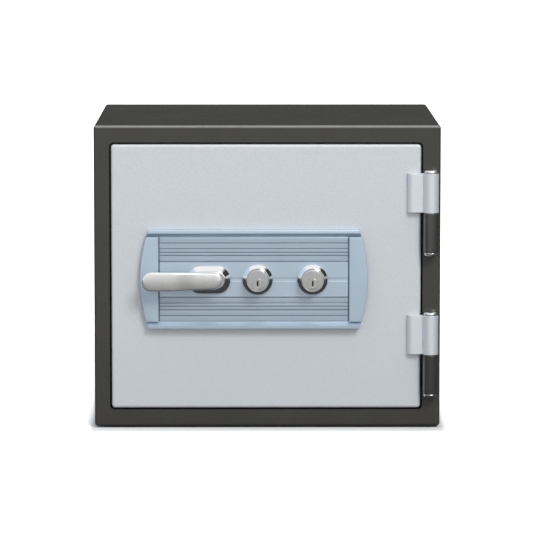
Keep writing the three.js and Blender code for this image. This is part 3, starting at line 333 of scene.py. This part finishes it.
def moulded_liner():
    """Off-white moulded plastic with a fine leather grain."""
    f = Finish("moulded_liner", shade(214, 212, 203), 0.55, IOR=1.46)
    p = f.place()
    grain, cloud = f.cells(p, 0.55, "SMOOTH_F1"), f.noise(p, 0.015)
    f.set(**{"Base Color": f.tint(grain * 0.5 + cloud * 0.5, shade(205, 203, 193), shade(220, 218, 210))})
    f.set(Roughness=0.5 + 0.15 * cloud, Normal=f.relief(grain, 0.08, 0.6))
    return f.material


def rubber():
    """Black rubber with a matt moulded skin."""
    f = Finish("black_rubber", shade(30, 30, 29), 0.8)
    p = f.place()
    dust_and_shade, pore = f.noise(p, 0.08, 3.0), f.noise(p, 1.8, 2.0)
    f.set(**{"Base Color": f.tint(dust_and_shade.over(0.4, 0.8), shade(26, 26, 25), shade(44, 43, 41))})
    f.set(Roughness=0.72 + 0.16 * pore, Normal=f.relief(pore, 0.08, 0.6))
    return f.material


def fire_filling():
    """Poured mineral filling with small voids."""
    f = Finish("fire_filling", shade(186, 180, 166), 0.9)
    p = f.place()
    void, cloud = f.cells(p, 0.3), f.noise(p, 0.03, 4.0)
    f.set(**{"Base Color": f.tint(cloud, shade(172, 165, 150), shade(200, 195, 182))})
    f.set(Roughness=0.84 + 0.1 * cloud, Normal=f.relief(void.over(0.1, 0.6), 0.5, 0.6))
    return f.material


# ---- Shapes, in millimetres ----
def eased(points, radius, steps=5):
    """A profile whose inner corners become arcs of about the radius.

    Each arc is the curve (1-t)(1-t)A + 2t(1-t)P + ttB between points A and B set
    back from the corner P along its two sides, and one more point stands just
    outside each end so that the flat sides shade flat.
    """
    points = np.array(points, float)
    before, corner, after = points[:-2], points[1:-1], points[2:]
    to_before, to_after = before - corner, after - corner
    reach_before = np.linalg.norm(to_before, axis=1, keepdims=True)
    reach_after = np.linalg.norm(to_after, axis=1, keepdims=True)
    back = np.minimum(radius, 0.4 * np.minimum(reach_before, reach_after))
    a, b = corner + to_before / reach_before * back, corner + to_after / reach_after * back
    t = np.linspace(0, 1, steps + 1)[None, :, None]
    arcs = (1 - t) ** 2 * a[:, None] + 2 * t * (1 - t) * corner[:, None] + t**2 * b[:, None]
    outer_a = a + to_before / reach_before * back * 0.2
    outer_b = b + to_after / reach_after * back * 0.2
    arcs = np.concatenate([outer_a[:, None], arcs, outer_b[:, None]], axis=1)
    return np.concatenate([points[:1], arcs.reshape(-1, 2), points[-1:]])


def circle(radius=1.0, centre=(0.0, 0.0), count=AROUND):
    """Points at even angles, half a step on from the X axis."""
    angle = (np.arange(count) + 0.5) * 2 * np.pi / count
    return np.stack([np.cos(angle), np.sin(angle)], axis=-1) * radius + np.array(centre)


def rounded(half_width, half_height, radius, count=AROUND):
    """A rounded rectangle: four quarter arcs whose centres stand inside its corners."""
    sizes = (half_width, half_height, radius)
    half_width, half_height, radius = (np.asarray(v, float)[..., None] for v in sizes)
    steps = count // 4
    angle = (np.arange(count) // steps + (np.arange(count) % steps) / (steps - 1)) * np.pi / 2
    quarter = np.arange(count) // steps
    across, upward = np.array([1, -1, -1, 1])[quarter], np.array([1, 1, -1, -1])[quarter]
    x = across * (half_width - radius) + radius * np.cos(angle)
    z = upward * (half_height - radius) + radius * np.sin(angle)
    return np.stack([x, z], axis=-1)


def drawn_in(outline, distance):
    """An outline moved inwards along its own normals; it runs anticlockwise."""
    along = np.roll(outline, -1, 0) - np.roll(outline, 1, 0)
    normal = np.stack([along[:, 1], -along[:, 0]], -1)
    return outline - normal / np.linalg.norm(normal, axis=1, keepdims=True) * distance


def stacked(outlines, heights):
    """Outlines (m, n, 2) at m heights as loops (m, n, 3) of x, z and height."""
    heights = np.broadcast_to(np.asarray(heights, float)[:, None, None], (*outlines.shape[:2], 1))
    return np.concatenate([outlines, heights], axis=-1)


def turned(profile):
    """Circles of each radius in a [radius, height] profile."""
    return stacked(profile[:, 0, None, None] * circle(), profile[:, 1])


def facing(loops, centre):
    """Loops whose height runs out of the door's face, about an x and z centre."""
    return np.stack([loops[..., 0] + centre[0], DOOR_FACE - loops[..., 2], loops[..., 1] + centre[-1]], -1)


def upright(loops, centre):
    """Loops whose height runs up Z, about an x and y centre."""
    return np.stack([loops[..., 0] + centre[0], loops[..., 1] + centre[1], loops[..., 2]], -1)


def lengthwise(loops, centre):
    """Loops whose height runs along X, about a y and z centre."""
    return np.stack([loops[..., 2], loops[..., 0] + centre[0], loops[..., 1] + centre[1]], -1)


def shell(name, loops, ring=False):
    """A closed mesh, facing outwards, of quads between neighbouring loops in millimetres.

    A ring joins its last loop to its first; any other shell is closed by its end loops.
    """
    count, around = loops.shape[:2]
    index = np.arange(count * around).reshape(count, around)
    first = index if ring else index[:-1]
    second = np.roll(index, -1, 0) if ring else index[1:]
    quads = np.stack([first, np.roll(first, -1, 1), np.roll(second, -1, 1), second], -1).reshape(-1, 4)
    points = loops.reshape(-1, 3) * MM
    lids = [] if ring else [index[0][::-1], index[-1]]
    triangles = [quads[:, [0, 1, 2]], quads[:, [0, 2, 3]]]
    triangles += [np.stack([np.full(around - 2, lid[0]), lid[1:-1], lid[2:]], -1) for lid in lids]
    a, b, c = (points[np.concatenate(triangles)[:, i]] for i in range(3))
    faces = quads.tolist() + [lid.tolist() for lid in lids]
    if np.einsum("ij,ij->", a, np.cross(b, c)) < 0:
        faces = [face[::-1] for face in faces]
    mesh = bpy.data.meshes.new(name)
    mesh.from_pydata(points.tolist(), [], faces)
    mesh.validate()
    made = bpy.data.objects.new(name, mesh)
    bpy.context.scene.collection.objects.link(made)
    return made


def piece(name, loops, body, stands_for, material, bores=(), ring=False, crease=35):
    """A shell, less its bores, that rides on a body and stands for a node of the frame."""
    made = shell(name, loops, ring)
    for cutter in bores:
        tool = shell("cutter", cutter)
        work = made.modifiers.new("bore", "BOOLEAN")
        work.operation, work.solver, work.object = "DIFFERENCE", "EXACT", tool
        seen = bpy.context.evaluated_depsgraph_get()
        result = bpy.data.meshes.new_from_object(made.evaluated_get(seen))
        made.modifiers.remove(work)
        made.data = result
        bpy.data.objects.remove(tool)
    made.data.materials.clear()
    made.data.materials.append(material)
    made.data.shade_smooth()
    made.data.set_sharp_from_angle(angle=math.radians(crease))
    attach(made, body)
    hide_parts(stands_for)
    return made


def drill(radius, low, high):
    """A straight cutter between two heights."""
    return turned(np.array([[radius, low], [radius, high]], float))


# ---- Finishes of this safe ----
# Painted light: the hinges wear a lighter copy of the door's silver paint.
HINGE_SILVER = silver_enamel("hinge_silver", 0.5, 0.35)
DARK, GLOSS, SILVER, CHROME, SATIN = dark_enamel(), gloss_enamel(), silver_enamel(), chrome(), satin_lever()
PANEL_BLUE = anodised("blue_anodised_ribs", (186, 202, 216), (197, 213, 227), True)
CAP_BLUE = anodised("blue_anodised_caps", (184, 202, 217), (194, 212, 226), False)
BOLT_STEEL, ZINC, BRASS = ground_bolt(), zinc_plate(), brass()
LINER, RUBBER, FILLING = moulded_liner(), rubber(), fire_filling()

for finish, names in {
    DARK: ["outer_casing", "rear_panel", "door_frame"],
    SILVER: ["door_skin"],
    LINER: ["liner_collar", "inner_liner", "shelf", "door_liner", "anchor_plug_left", "anchor_plug_right"],
    RUBBER: ["door_seal", "foot_front_left", "foot_front_right", "foot_rear_left", "foot_rear_right"],
    FILLING: ["body_insulation", "door_insulation"],
    BRASS: ["left_lock_nut", "right_lock_nut", "guide_stud_left", "guide_stud_right"],
    ZINC: [
        "boltwork_plate", "bolt_guide", "fixed_bolt_bracket", "bolt_bar", "drive_crank", "handle_spindle",
        "bolt_keeper_plate", "hinge_keeper_plate", "anchor_sleeve_left", "anchor_sleeve_right",
        "left_lock_cam", "right_lock_cam", "liner_screw_1", "liner_screw_2", "liner_screw_3",
        "liner_screw_4",
    ],
}.items():
    for name in names:
        nodes[name].material_slots[0].material = finish


# ---- Lock panel ----


def end_at(z):
    """Half the panel's width at a height: an arc of END_R that is widest in the middle."""
    return PANEL_HALF_W - END_R + np.sqrt(END_R**2 - np.asarray(z, float) ** 2)


def across(z, half_width, back, front, ease=0.5):
    """At each height z, a loop round the section from back to front with eased corners."""
    half = np.broadcast_to(half_width, z.shape)
    depth = (np.asarray(front) - np.asarray(back)) / 2
    section = rounded(half, depth, np.minimum(ease, depth * 0.9), 24)
    middle = np.broadcast_to((np.asarray(front) + np.asarray(back)) / 2, z.shape)[:, None]
    height = np.broadcast_to(z[:, None], section.shape[:2])
    depthways = DOOR_FACE - section[..., 1] - middle
    return np.stack([section[..., 0] + PANEL[0], depthways, height + PANEL[2]], -1)


def rail_height(z):
    """Rails with a rounded nose and a hollow slope down to the seat of the ribs."""
    from_edge = PANEL_HALF_H - np.abs(z)
    nose = RAIL_TOP - np.clip(1 - from_edge, 0, 1) ** 2
    slope = np.clip((from_edge - NOSE_WIDTH) / 4.6, 0, 1)
    return np.where(from_edge < NOSE_WIDTH, nose, SEAT + (RAIL_TOP - SEAT) * (1 - slope) ** 1.25)


def rib_height(z):
    """Ribs between grooves on both sides of a flat band with a shallow middle groove."""
    a = np.abs(z)
    edges = np.array([*GROOVES, 50.2])
    place = np.clip(np.searchsorted(edges, a) - 1, 0, 4)
    low, high = edges[place], edges[place + 1]
    share = np.clip((a - low) / (high - low), 0, 1) * 2 - 1
    half = (high - low) / 2
    from_groove = half * (1 - np.abs(share))
    crown = 0.05 * (1 - share**2)
    rib = GROOVE_FLOOR + RIB_RISE * np.clip(from_groove / 0.5, 0, 1) ** 0.5 + crown
    band = BAND_TOP - 0.9 * (1 - np.clip((np.abs(z + 0.1) - 1.9) / 0.4, 0, 1))
    step = np.clip((GROOVES[0] - 0.2 - a) / 0.7, 0, 1)
    return np.where(a < GROOVES[0] - 0.1, SEAT + (band - SEAT) * step**0.5, rib)


# Steps in from the panel's edge, crowded where the rail's section turns.
steps = np.array([0, 0.15, 0.35, 0.6, 1, 1.3, 3.4, 3.8, 4, 4.2, 4.6, 5.2, 6, 7, 8, 8.6, 9])
even, crowded = np.linspace(-1, 1, 81) * PANEL_HALF_H, PANEL_HALF_H - steps
z = np.unique(np.concatenate([even, -crowded, crowded]))
z[0], z[-1] = -PANEL_HALF_H, PANEL_HALF_H
lock_middles = [np.mean(corners_of(f"{side}_lock_collar"), axis=0) for side in ("left", "right")]
holes = [facing(drill(7.5, -4, 13), HANDLE)]  # for the spindle, then for the locks
holes += [facing(drill(12.2, -4, 13), middle) for middle in lock_middles]
rails = across(z, end_at(z), 0.3, rail_height(z))
piece("lock_panel_rails", rails, "door", "lock_panel", PANEL_BLUE, holes)
z = np.linspace(-RAIL_FOOT + 0.2, RAIL_FOOT - 0.2, 420)
ribs = across(z, RIBS_END, 2.5, rib_height(z), 0.25)
piece("lock_panel_ribs", ribs, "door", "lock_panel", PANEL_BLUE, holes)


def end_cap(side):
    """A cap between the rails: straight inside, an arc outside, its front eased."""
    half_high, round_over = RAIL_FOOT - 0.1, 0.15
    z = np.concatenate([np.linspace(-1, 1, 61), [-0.9985, -0.997, 0.997, 0.9985]])
    z = np.sort(z) * half_high
    middle, half = (end_at(z) + CAP_INNER) / 2, (end_at(z) - CAP_INNER) / 2
    edge = np.clip((half_high - np.abs(z)) / round_over, 0, 1)
    front = CAP_TOP - round_over * (1 - np.sqrt(1 - (1 - edge) ** 2))
    loops = across(z, half, 5.6, front, 0.8)
    loops[..., 0] += middle[:, None]
    if side == "left":
        loops[..., 0] = 2 * PANEL[0] - loops[..., 0]
    piece(f"{side}_end_cap", loops, "door", f"panel_cap_{side}", CAP_BLUE)


for side in ("left", "right"):
    end_cap(side)


# ---- Handle ----
def escutcheon():
    """A rounded plate with a broad bevel: the outline draws in as the profile rises."""
    low, high = corners_of("handle_escutcheon")
    half_w, half_h = (high[0] - low[0]) / 2, (high[2] - low[2]) / 2
    front = DOOR_FACE - low[1]
    bevel = [[0, 11.3], [6.2, front - 0.4], [7.2, front]]
    profile = eased([[0, LOCK_SEAT], *bevel, [12.0, front]], 0.7, 5)
    inset, height = profile[:, 0], profile[:, 1]
    outlines = rounded(half_w - inset, half_h - inset, np.maximum(15.4 - inset, 2.5))
    loops = facing(stacked(outlines, height), (low + high) / 2)
    bore = facing(drill(7, 7, 18), HANDLE)
    piece("escutcheon_plate", loops, "door", "handle_escutcheon", CHROME, [bore])


escutcheon()

HUB_R, TIP_R = 9.8, 11.2
LENGTH = 84.4  # from the spindle to the tip


def lever():
    """A rounded section carried from the hub to the tip.

    Its half height follows a circle at the hub, widens along an eased line and follows a larger
    circle at the tip. Its front and back steps outwards along eased curves between hub and blade.
    """
    turn = np.linspace(0, 1, 28)
    hub = HUB_R * np.cos(turn * np.pi / 2) * 0.9995
    blade = np.linspace(0, TIP_R - LENGTH, 74)[1:-1]
    tip = TIP_R - LENGTH - TIP_R * np.sin(turn * np.pi / 2) * 0.9995
    x = np.concatenate([hub, blade, tip])
    ease = lambda s: s * s * (3 - 2 * s)
    widen = ease(np.clip(-x / 50, 0, 1))
    half = HUB_R + (TIP_R - HUB_R) * widen
    half = np.where(x > 0, np.sqrt(np.maximum(HUB_R**2 - x**2, 0)), half)
    from_tip = x - (TIP_R - LENGTH)
    half = np.where(from_tip < 0, np.sqrt(np.maximum(TIP_R**2 - from_tip**2, 0)), half)
    front = 29 + 6 * ease(np.clip((-x - 16) / 34, 0, 1))
    back = 17 + 11.5 * ease(np.clip((-x - 9) / 34, 0, 1))
    rise = lambda gap, r: r * (1 - np.sqrt(np.maximum(1 - np.clip(1 - gap / r, 0, 1) ** 2, 0)))
    front = front - rise(HUB_R - x, 1.6) - rise(x + LENGTH, 2.0)
    back = back + rise(x + LENGTH, 2.0)
    thick = (front - back) / 2
    corner = np.minimum(np.minimum(1.6, thick * 0.92), np.maximum(half * 0.9, 1e-3))
    section = rounded(half, thick, corner, 64)
    crown = 0.5 * (1 - np.clip(np.abs(section[..., 0]) / np.maximum(half, 1e-3)[:, None], 0, 1) ** 2)
    height = section[..., 1] + ((front + back) / 2)[:, None] - np.where(section[..., 1] > 0, 0.5 - crown, 0)
    loops = np.stack([np.broadcast_to(x[:, None], height.shape), section[..., 0], height], -1)
    socket = facing(stacked(np.stack([rounded(4.2, 4.2, 0.4, 24)] * 2), [15, 26]), HANDLE)
    loops = facing(loops, HANDLE)
    piece("lever", loops, "handle", "handle_lever", SATIN, [socket], crease=50)


lever()


# ---- Key locks ----
def lock(side):
    """Collar, cylinder and turning key plug of one lock.

    Each is loops round an axis: a profile's radii for the outside, and for the inside circles about
    the key's own axis, which stands a little lower than the collar's.
    """
    low, high = corners_of(f"{side}_lock_collar")
    centre = (low + high) / 2
    low, high = corners_of(f"{side}_key_plug")
    drop = (low[2] + high[2]) / 2 - centre[2]
    key_axis = (centre[0], 0, centre[2] + drop)

    inside, outside = 13.3, 18
    sleeve = [[inside, 12], [inside, LOCK_SEAT], [outside, LOCK_SEAT], [outside, 11], [14, 14.1]]
    sleeve += [[inside, 14.3], [inside, 12]]
    cone = facing(turned(eased(sleeve, 0.35, 4)[:-1]), centre)
    piece(f"{side}_cone", cone, "door", f"{side}_lock_collar", CHROME, ring=True)

    colours = (206, 207, 206), (236, 236, 235)
    face = machined(f"turned_face_{side}", (centre[0], 0, centre[2]), colours, 0.5)
    ring = LOCK_FACE - 0.15  # a shallow ring turned in the face
    groove = [[11.9, LOCK_FACE], [11.8, ring], [11.5, ring], [11.4, LOCK_FACE]]
    rim = [[13, LOCK_SEAT], [13, LOCK_FACE], *groove, [10.2, LOCK_FACE]]
    outer = eased([[12, -12], [12, LOCK_SEAT], *rim], 0.35, 4)
    flat = [(9.6, 0.4), (7.0, 1), (6.6, 1), (6.45, 1)]  # radius, and share of the drop
    outlines = np.concatenate([
        12 * circle()[None], outer[:, 0, None, None] * circle(),
        [circle(size, (0, drop * share)) for size, share in flat],
        [circle(6.3, (0, drop))] * 4,
    ])
    bore = [LOCK_FACE - 0.1, LOCK_FACE - 0.5, 0, LOCK_BACK]
    height = np.concatenate([[LOCK_BACK], outer[:, 1], [LOCK_FACE] * 4, bore])
    piece(f"{side}_cylinder", facing(stacked(outlines, height), centre), "door",
          f"{side}_lock_cylinder", face, ring=True)

    colours = (206, 206, 203), (232, 232, 230)
    core = machined(f"key_face_{side}", key_axis, colours, 0.4, DOOR_FACE - KEY_FACE + 0.4)
    slot, tail = rounded(0.85, 3.4, 0.4), rounded(3.0, 1.3, 0.3)
    rim = [[4.6, KEY_FACE], [6.2, KEY_FACE], [6.2, 10], [6.2, KEY_BACK], [5.0, KEY_BACK]]
    rim = eased(rim, 0.3, 4)
    outlines = np.concatenate([
        [slot, slot, slot * 1.12, slot * 1.2], rim[:, 0, None, None] * circle(), [tail, tail],
    ])
    keyway = [2.4, KEY_FACE - 0.2, KEY_FACE, KEY_FACE]
    height = np.concatenate([keyway, rim[:, 1], [KEY_BACK, DOOR_FACE - high[1]]])
    piece(f"{side}_key_core", facing(stacked(outlines, height), key_axis), f"{side}_key",
          f"{side}_key_plug", core)


for side in ("left", "right"):
    lock(side)


# ---- Hinges ----
BARREL, BORE, HEAD_R = 9.0, 5.25, 8.3


def curve(start, corner, end, count):
    """The curve (1-t)(1-t)A + 2t(1-t)P + ttB from A to B that leans towards the corner P."""
    t = np.linspace(0, 1, count)[:, None]
    start, corner, end = np.array(start), np.array(corner), np.array(end)
    return (1 - t) ** 2 * start + 2 * t * (1 - t) * corner + t**2 * end


def frame_knuckle_outline():
    """A barrel on a short foot that spreads onto the casing's face."""
    foot = CASING_FACE - 0.3 - HINGE[1]
    start = math.asin(0.72)
    arc = np.linspace(np.pi - start, 2 * np.pi + start, 97)
    barrel = np.stack([np.cos(arc), np.sin(arc)], -1) * BARREL
    right = curve(barrel[-1], (7.4, foot - 0.9), (8.6, foot), 9)
    left = curve((-7.2, foot), (-7.0, foot - 0.9), barrel[0], 9)
    return np.concatenate([barrel, right[1:], left[:-1]])


def door_knuckle_outline():
    """A barrel with a leaf: rounded free edge, flat front, a soft valley beside the barrel."""
    back = DOOR_FACE - 0.3 - HINGE[1]
    reach = HINGE[0] - corners_of("upper_door_knuckle")[0][0]
    angle = np.linspace(np.pi, 1.5 * np.pi, 13)
    edge = np.stack([-reach + 6 + 6 * np.cos(angle), 6 + 6 * np.sin(angle)], -1)
    flat = np.stack([np.linspace(-reach + 7.5, -10.6, 8), np.zeros(8)], -1)
    valley = curve((-10.2, 0), (-9.1, 0), (-8.9, -1.3), 7)
    arc = np.linspace(np.pi + 0.2, 2 * np.pi + math.asin(back / BARREL), 81)
    barrel = np.stack([np.cos(arc), np.sin(arc)], -1) * BARREL
    rear = np.stack([np.linspace(3, -reach + 0.6, 12), np.full(12, back)], -1)
    return np.concatenate([edge, flat, valley, barrel, rear, [[-reach, back - 0.6]]])


def knuckle(name, outline, node, material, body):
    """An outline carried up Z between a node's ends, with eased ends and a bore for the pin."""
    low, high = corners_of(node)
    profile = eased([[1.4, low[2]], [0, low[2]], [0, high[2]], [1.4, high[2]]], 0.6, 4)
    outlines = np.stack([drawn_in(outline, inset) for inset in profile[:, 0]])
    bore = upright(drill(BORE, low[2] - 2, high[2] + 2), HINGE)
    piece(name, upright(stacked(outlines, profile[:, 1]), HINGE), body, node, material, [bore])


def pin(level):
    """A pin with a domed head, and the domed cap on its lower end.

    A dome's radius is R cos u and its rise H sin u, for u from level to upright.
    """
    low, high = corners_of(f"{level}_hinge_pin")
    rise = np.linspace(0, 1, 11)[1:-1] * np.pi / 2
    dome = np.stack([HEAD_R * np.cos(rise), 3.5 * np.sin(rise)], -1)
    seat = high[2] - 5.3
    head = [[8.0, seat], [HEAD_R, seat + 0.5], [HEAD_R, seat + 1.8]]
    shank = eased([[4.4, low[2]], [5.0, low[2] + 0.6], [5.0, seat], *head], 0.2, 3)
    whole = upright(turned(np.concatenate([shank, dome + [0, seat + 1.8]])), HINGE)
    piece(f"{level}_pin", whole, "safe_body", f"{level}_hinge_pin", CHROME)

    top = corners_of(f"{level}_pin_cap")[1][2]
    edge = [[8.0, top], [HEAD_R, top - 0.5], [HEAD_R, top - 1.8]]
    rim = eased([[BORE, top - 2.8], [BORE, top], *edge], 0.2, 3)
    whole = upright(turned(np.concatenate([rim, dome * [1, -1] + [0, top - 1.8]])), HINGE)
    piece(f"{level}_cap", whole, "safe_body", f"{level}_pin_cap", CHROME)


for level in ("upper", "lower"):
    knuckle(f"{level}_body_hinge", frame_knuckle_outline(), f"{level}_frame_knuckle",
            GLOSS, "safe_body")
    knuckle(f"{level}_door_hinge", door_knuckle_outline(), f"{level}_door_knuckle",
            HINGE_SILVER, "door")
    pin(level)


# ---- Bolts ----
def bolt(level, kind, body, radius, tip):
    """A ground bolt along X with an eased tip; a fixed bolt has a head behind its bracket."""
    low, high = corners_of(f"{level}_{kind}_bolt")
    ends = (high[0], low[0]) if tip < 0 else (low[0], high[0])
    way = 1 if tip > 0 else -1
    profile = [[radius - 1.5, ends[1]], [radius, ends[1] - way * 1.8]]
    if kind == "fixed":
        head = (high[2] - low[2]) / 2
        profile += [[radius, ends[0] + 4], [head, ends[0] + 4], [head, ends[0]], [head - 2, ends[0]]]
    else:
        profile += [[radius, ends[0]], [radius - 2, ends[0]]]
    loops = lengthwise(turned(eased(profile, 0.5, 4)), (low[1:] + high[1:]) / 2)
    node = f"{level}_{kind}_bolt"
    piece(f"{node}_ground", loops, body, node, BOLT_STEEL)


for level in ("upper", "lower"):
    bolt(level, "live", "bolts", 10.0, -1)
    bolt(level, "fixed", "door", 8.0, 1)


# ---- Studio ----
def studio_floor():
    """A broad pale floor that gives the object little light back.

    It shows white but for a soft shadow at the casing's foot, rendered and deepened by painted shade
    there, and polished metal mirrors it in a painted reflection colour, dark near the casing and on the
    right, pale further out in front.
    """
    angle = np.linspace(0, 2 * np.pi, 97)[:-1]
    rim = np.stack([np.cos(angle), np.sin(angle), np.zeros(96)], -1) * 16.0
    mesh = bpy.data.meshes.new("studio_floor")
    mesh.from_pydata(rim.tolist(), [], [list(range(96))])
    floor = bpy.data.objects.new("studio_floor", mesh)
    bpy.context.scene.collection.objects.link(floor)
    f = Finish("studio_floor", (0.93, 0.93, 0.93), 0.9, Specular_IOR_Level=0.0)
    seen = f.node("ShaderNodeLightPath", output="Is Camera Ray")
    mirrored = f.node("ShaderNodeLightPath", output="Is Glossy Ray")
    x, y, _ = f.axes(f.place())
    # Painted reflection: the colour that mirrored rays see, dark near the casing and on the right.
    far = (1 - y.over(-1300, -700)) * (1 - 0.55 * x.over(300, 900))
    mirror = f.tint(far, (0.06, 0.06, 0.06), (0.4, 0.4, 0.39))
    bounce = f.tint(mirrored, (0.52, 0.52, 0.52), mirror)
    ahead, beside = float(CASING_FACE) - y, (x * x) ** 0.5 - float(casing_high[0])
    behind = y - float(casing_high[1])
    open_floor = 1 - (1 - ahead.over(14, 55)) * (1 - beside.over(0, 14)) * (1 - behind.over(0, 30))
    # Painted shadow: the floor's colour is darker near the casing's foot.
    paper_with_painted_shadow = f.tint(open_floor, (0.84, 0.84, 0.84), (1, 1, 1))
    f.set(**{"Base Color": f.tint(seen, bounce, paper_with_painted_shadow), "Emission Strength": 0.6})
    f.set(**{"Emission Color": f.tint(seen * open_floor, (0, 0, 0), (1, 1, 1))})
    mesh.materials.append(f.material)


def studio_sky():
    """Even light, with a soft box overhead, a bright front and a dim back.

    Low on the left is a pale blue window, and a dark flag faces it on the right.
    """
    world = bpy.data.worlds.new("studio_sky")
    bpy.context.scene.world = world
    world.use_nodes = True
    world.node_tree.nodes.clear()
    g = Graph(world.node_tree)
    way = g.node("ShaderNodeTexCoord")
    x, y, z = (g.node("ShaderNodeSeparateXYZ", None, {0: way}, i) for i in range(3))
    strip = z.over(0.6, 0.85) * (1 - (y * y).over(0.06, 0.3))
    front = (y * -1).over(0.15, 0.8) + 0.9 * (y * -1).over(0.82, 0.98)
    behind = y.over(0.2, 0.6) * (1 - z.over(0.2, 0.6))
    seen = g.node("ShaderNodeLightPath", output="Is Camera Ray")
    level = z.over(0.08, 0.2) * (1 - z.over(0.6, 0.85)) * (1 - (y * y).over(0.12, 0.4))
    flag, window = x.over(0.35, 0.6) * level, (x * -1).over(0.4, 0.65) * level
    light = (0.42 + 0.45 * front + 0.65 * strip - 0.36 * behind + 0.45 * window) * (1 - 0.9 * flag) + seen
    colour = g.tint(window, (1, 1, 1), (0.62, 0.8, 1))
    shine = g.node("ShaderNodeBackground", None, {"Color": colour, "Strength": light})
    g.node("ShaderNodeOutputWorld", None, {"Surface": shine})


def lamp(name, direction, strength, angle):
    light = bpy.data.lights.new(name, "SUN")
    light.energy, light.angle = strength, math.radians(angle)
    made = bpy.data.objects.new(name, light)
    made.rotation_euler = Euler(direction)
    bpy.context.scene.collection.objects.link(made)


studio_floor()
studio_sky()
lamp("soft_key", (math.radians(52), 0, math.radians(26)), 1.62, 20)  # high on the front right

camera = bpy.data.cameras.new("front_camera")
camera.sensor_width, camera.lens = 36.0, 248.59
camera.clip_start, camera.clip_end = 0.1, 60.0
eye = bpy.data.objects.new("front_camera", camera)
eye.location = (-0.01978, -4.51337, 0.6892)
eye.rotation_euler = (math.pi / 2 - 0.1133617, 0.0, -0.0043347)
bpy.context.scene.collection.objects.link(eye)
bpy.context.scene.camera = eye
bpy.context.scene.view_settings.view_transform = "Standard"
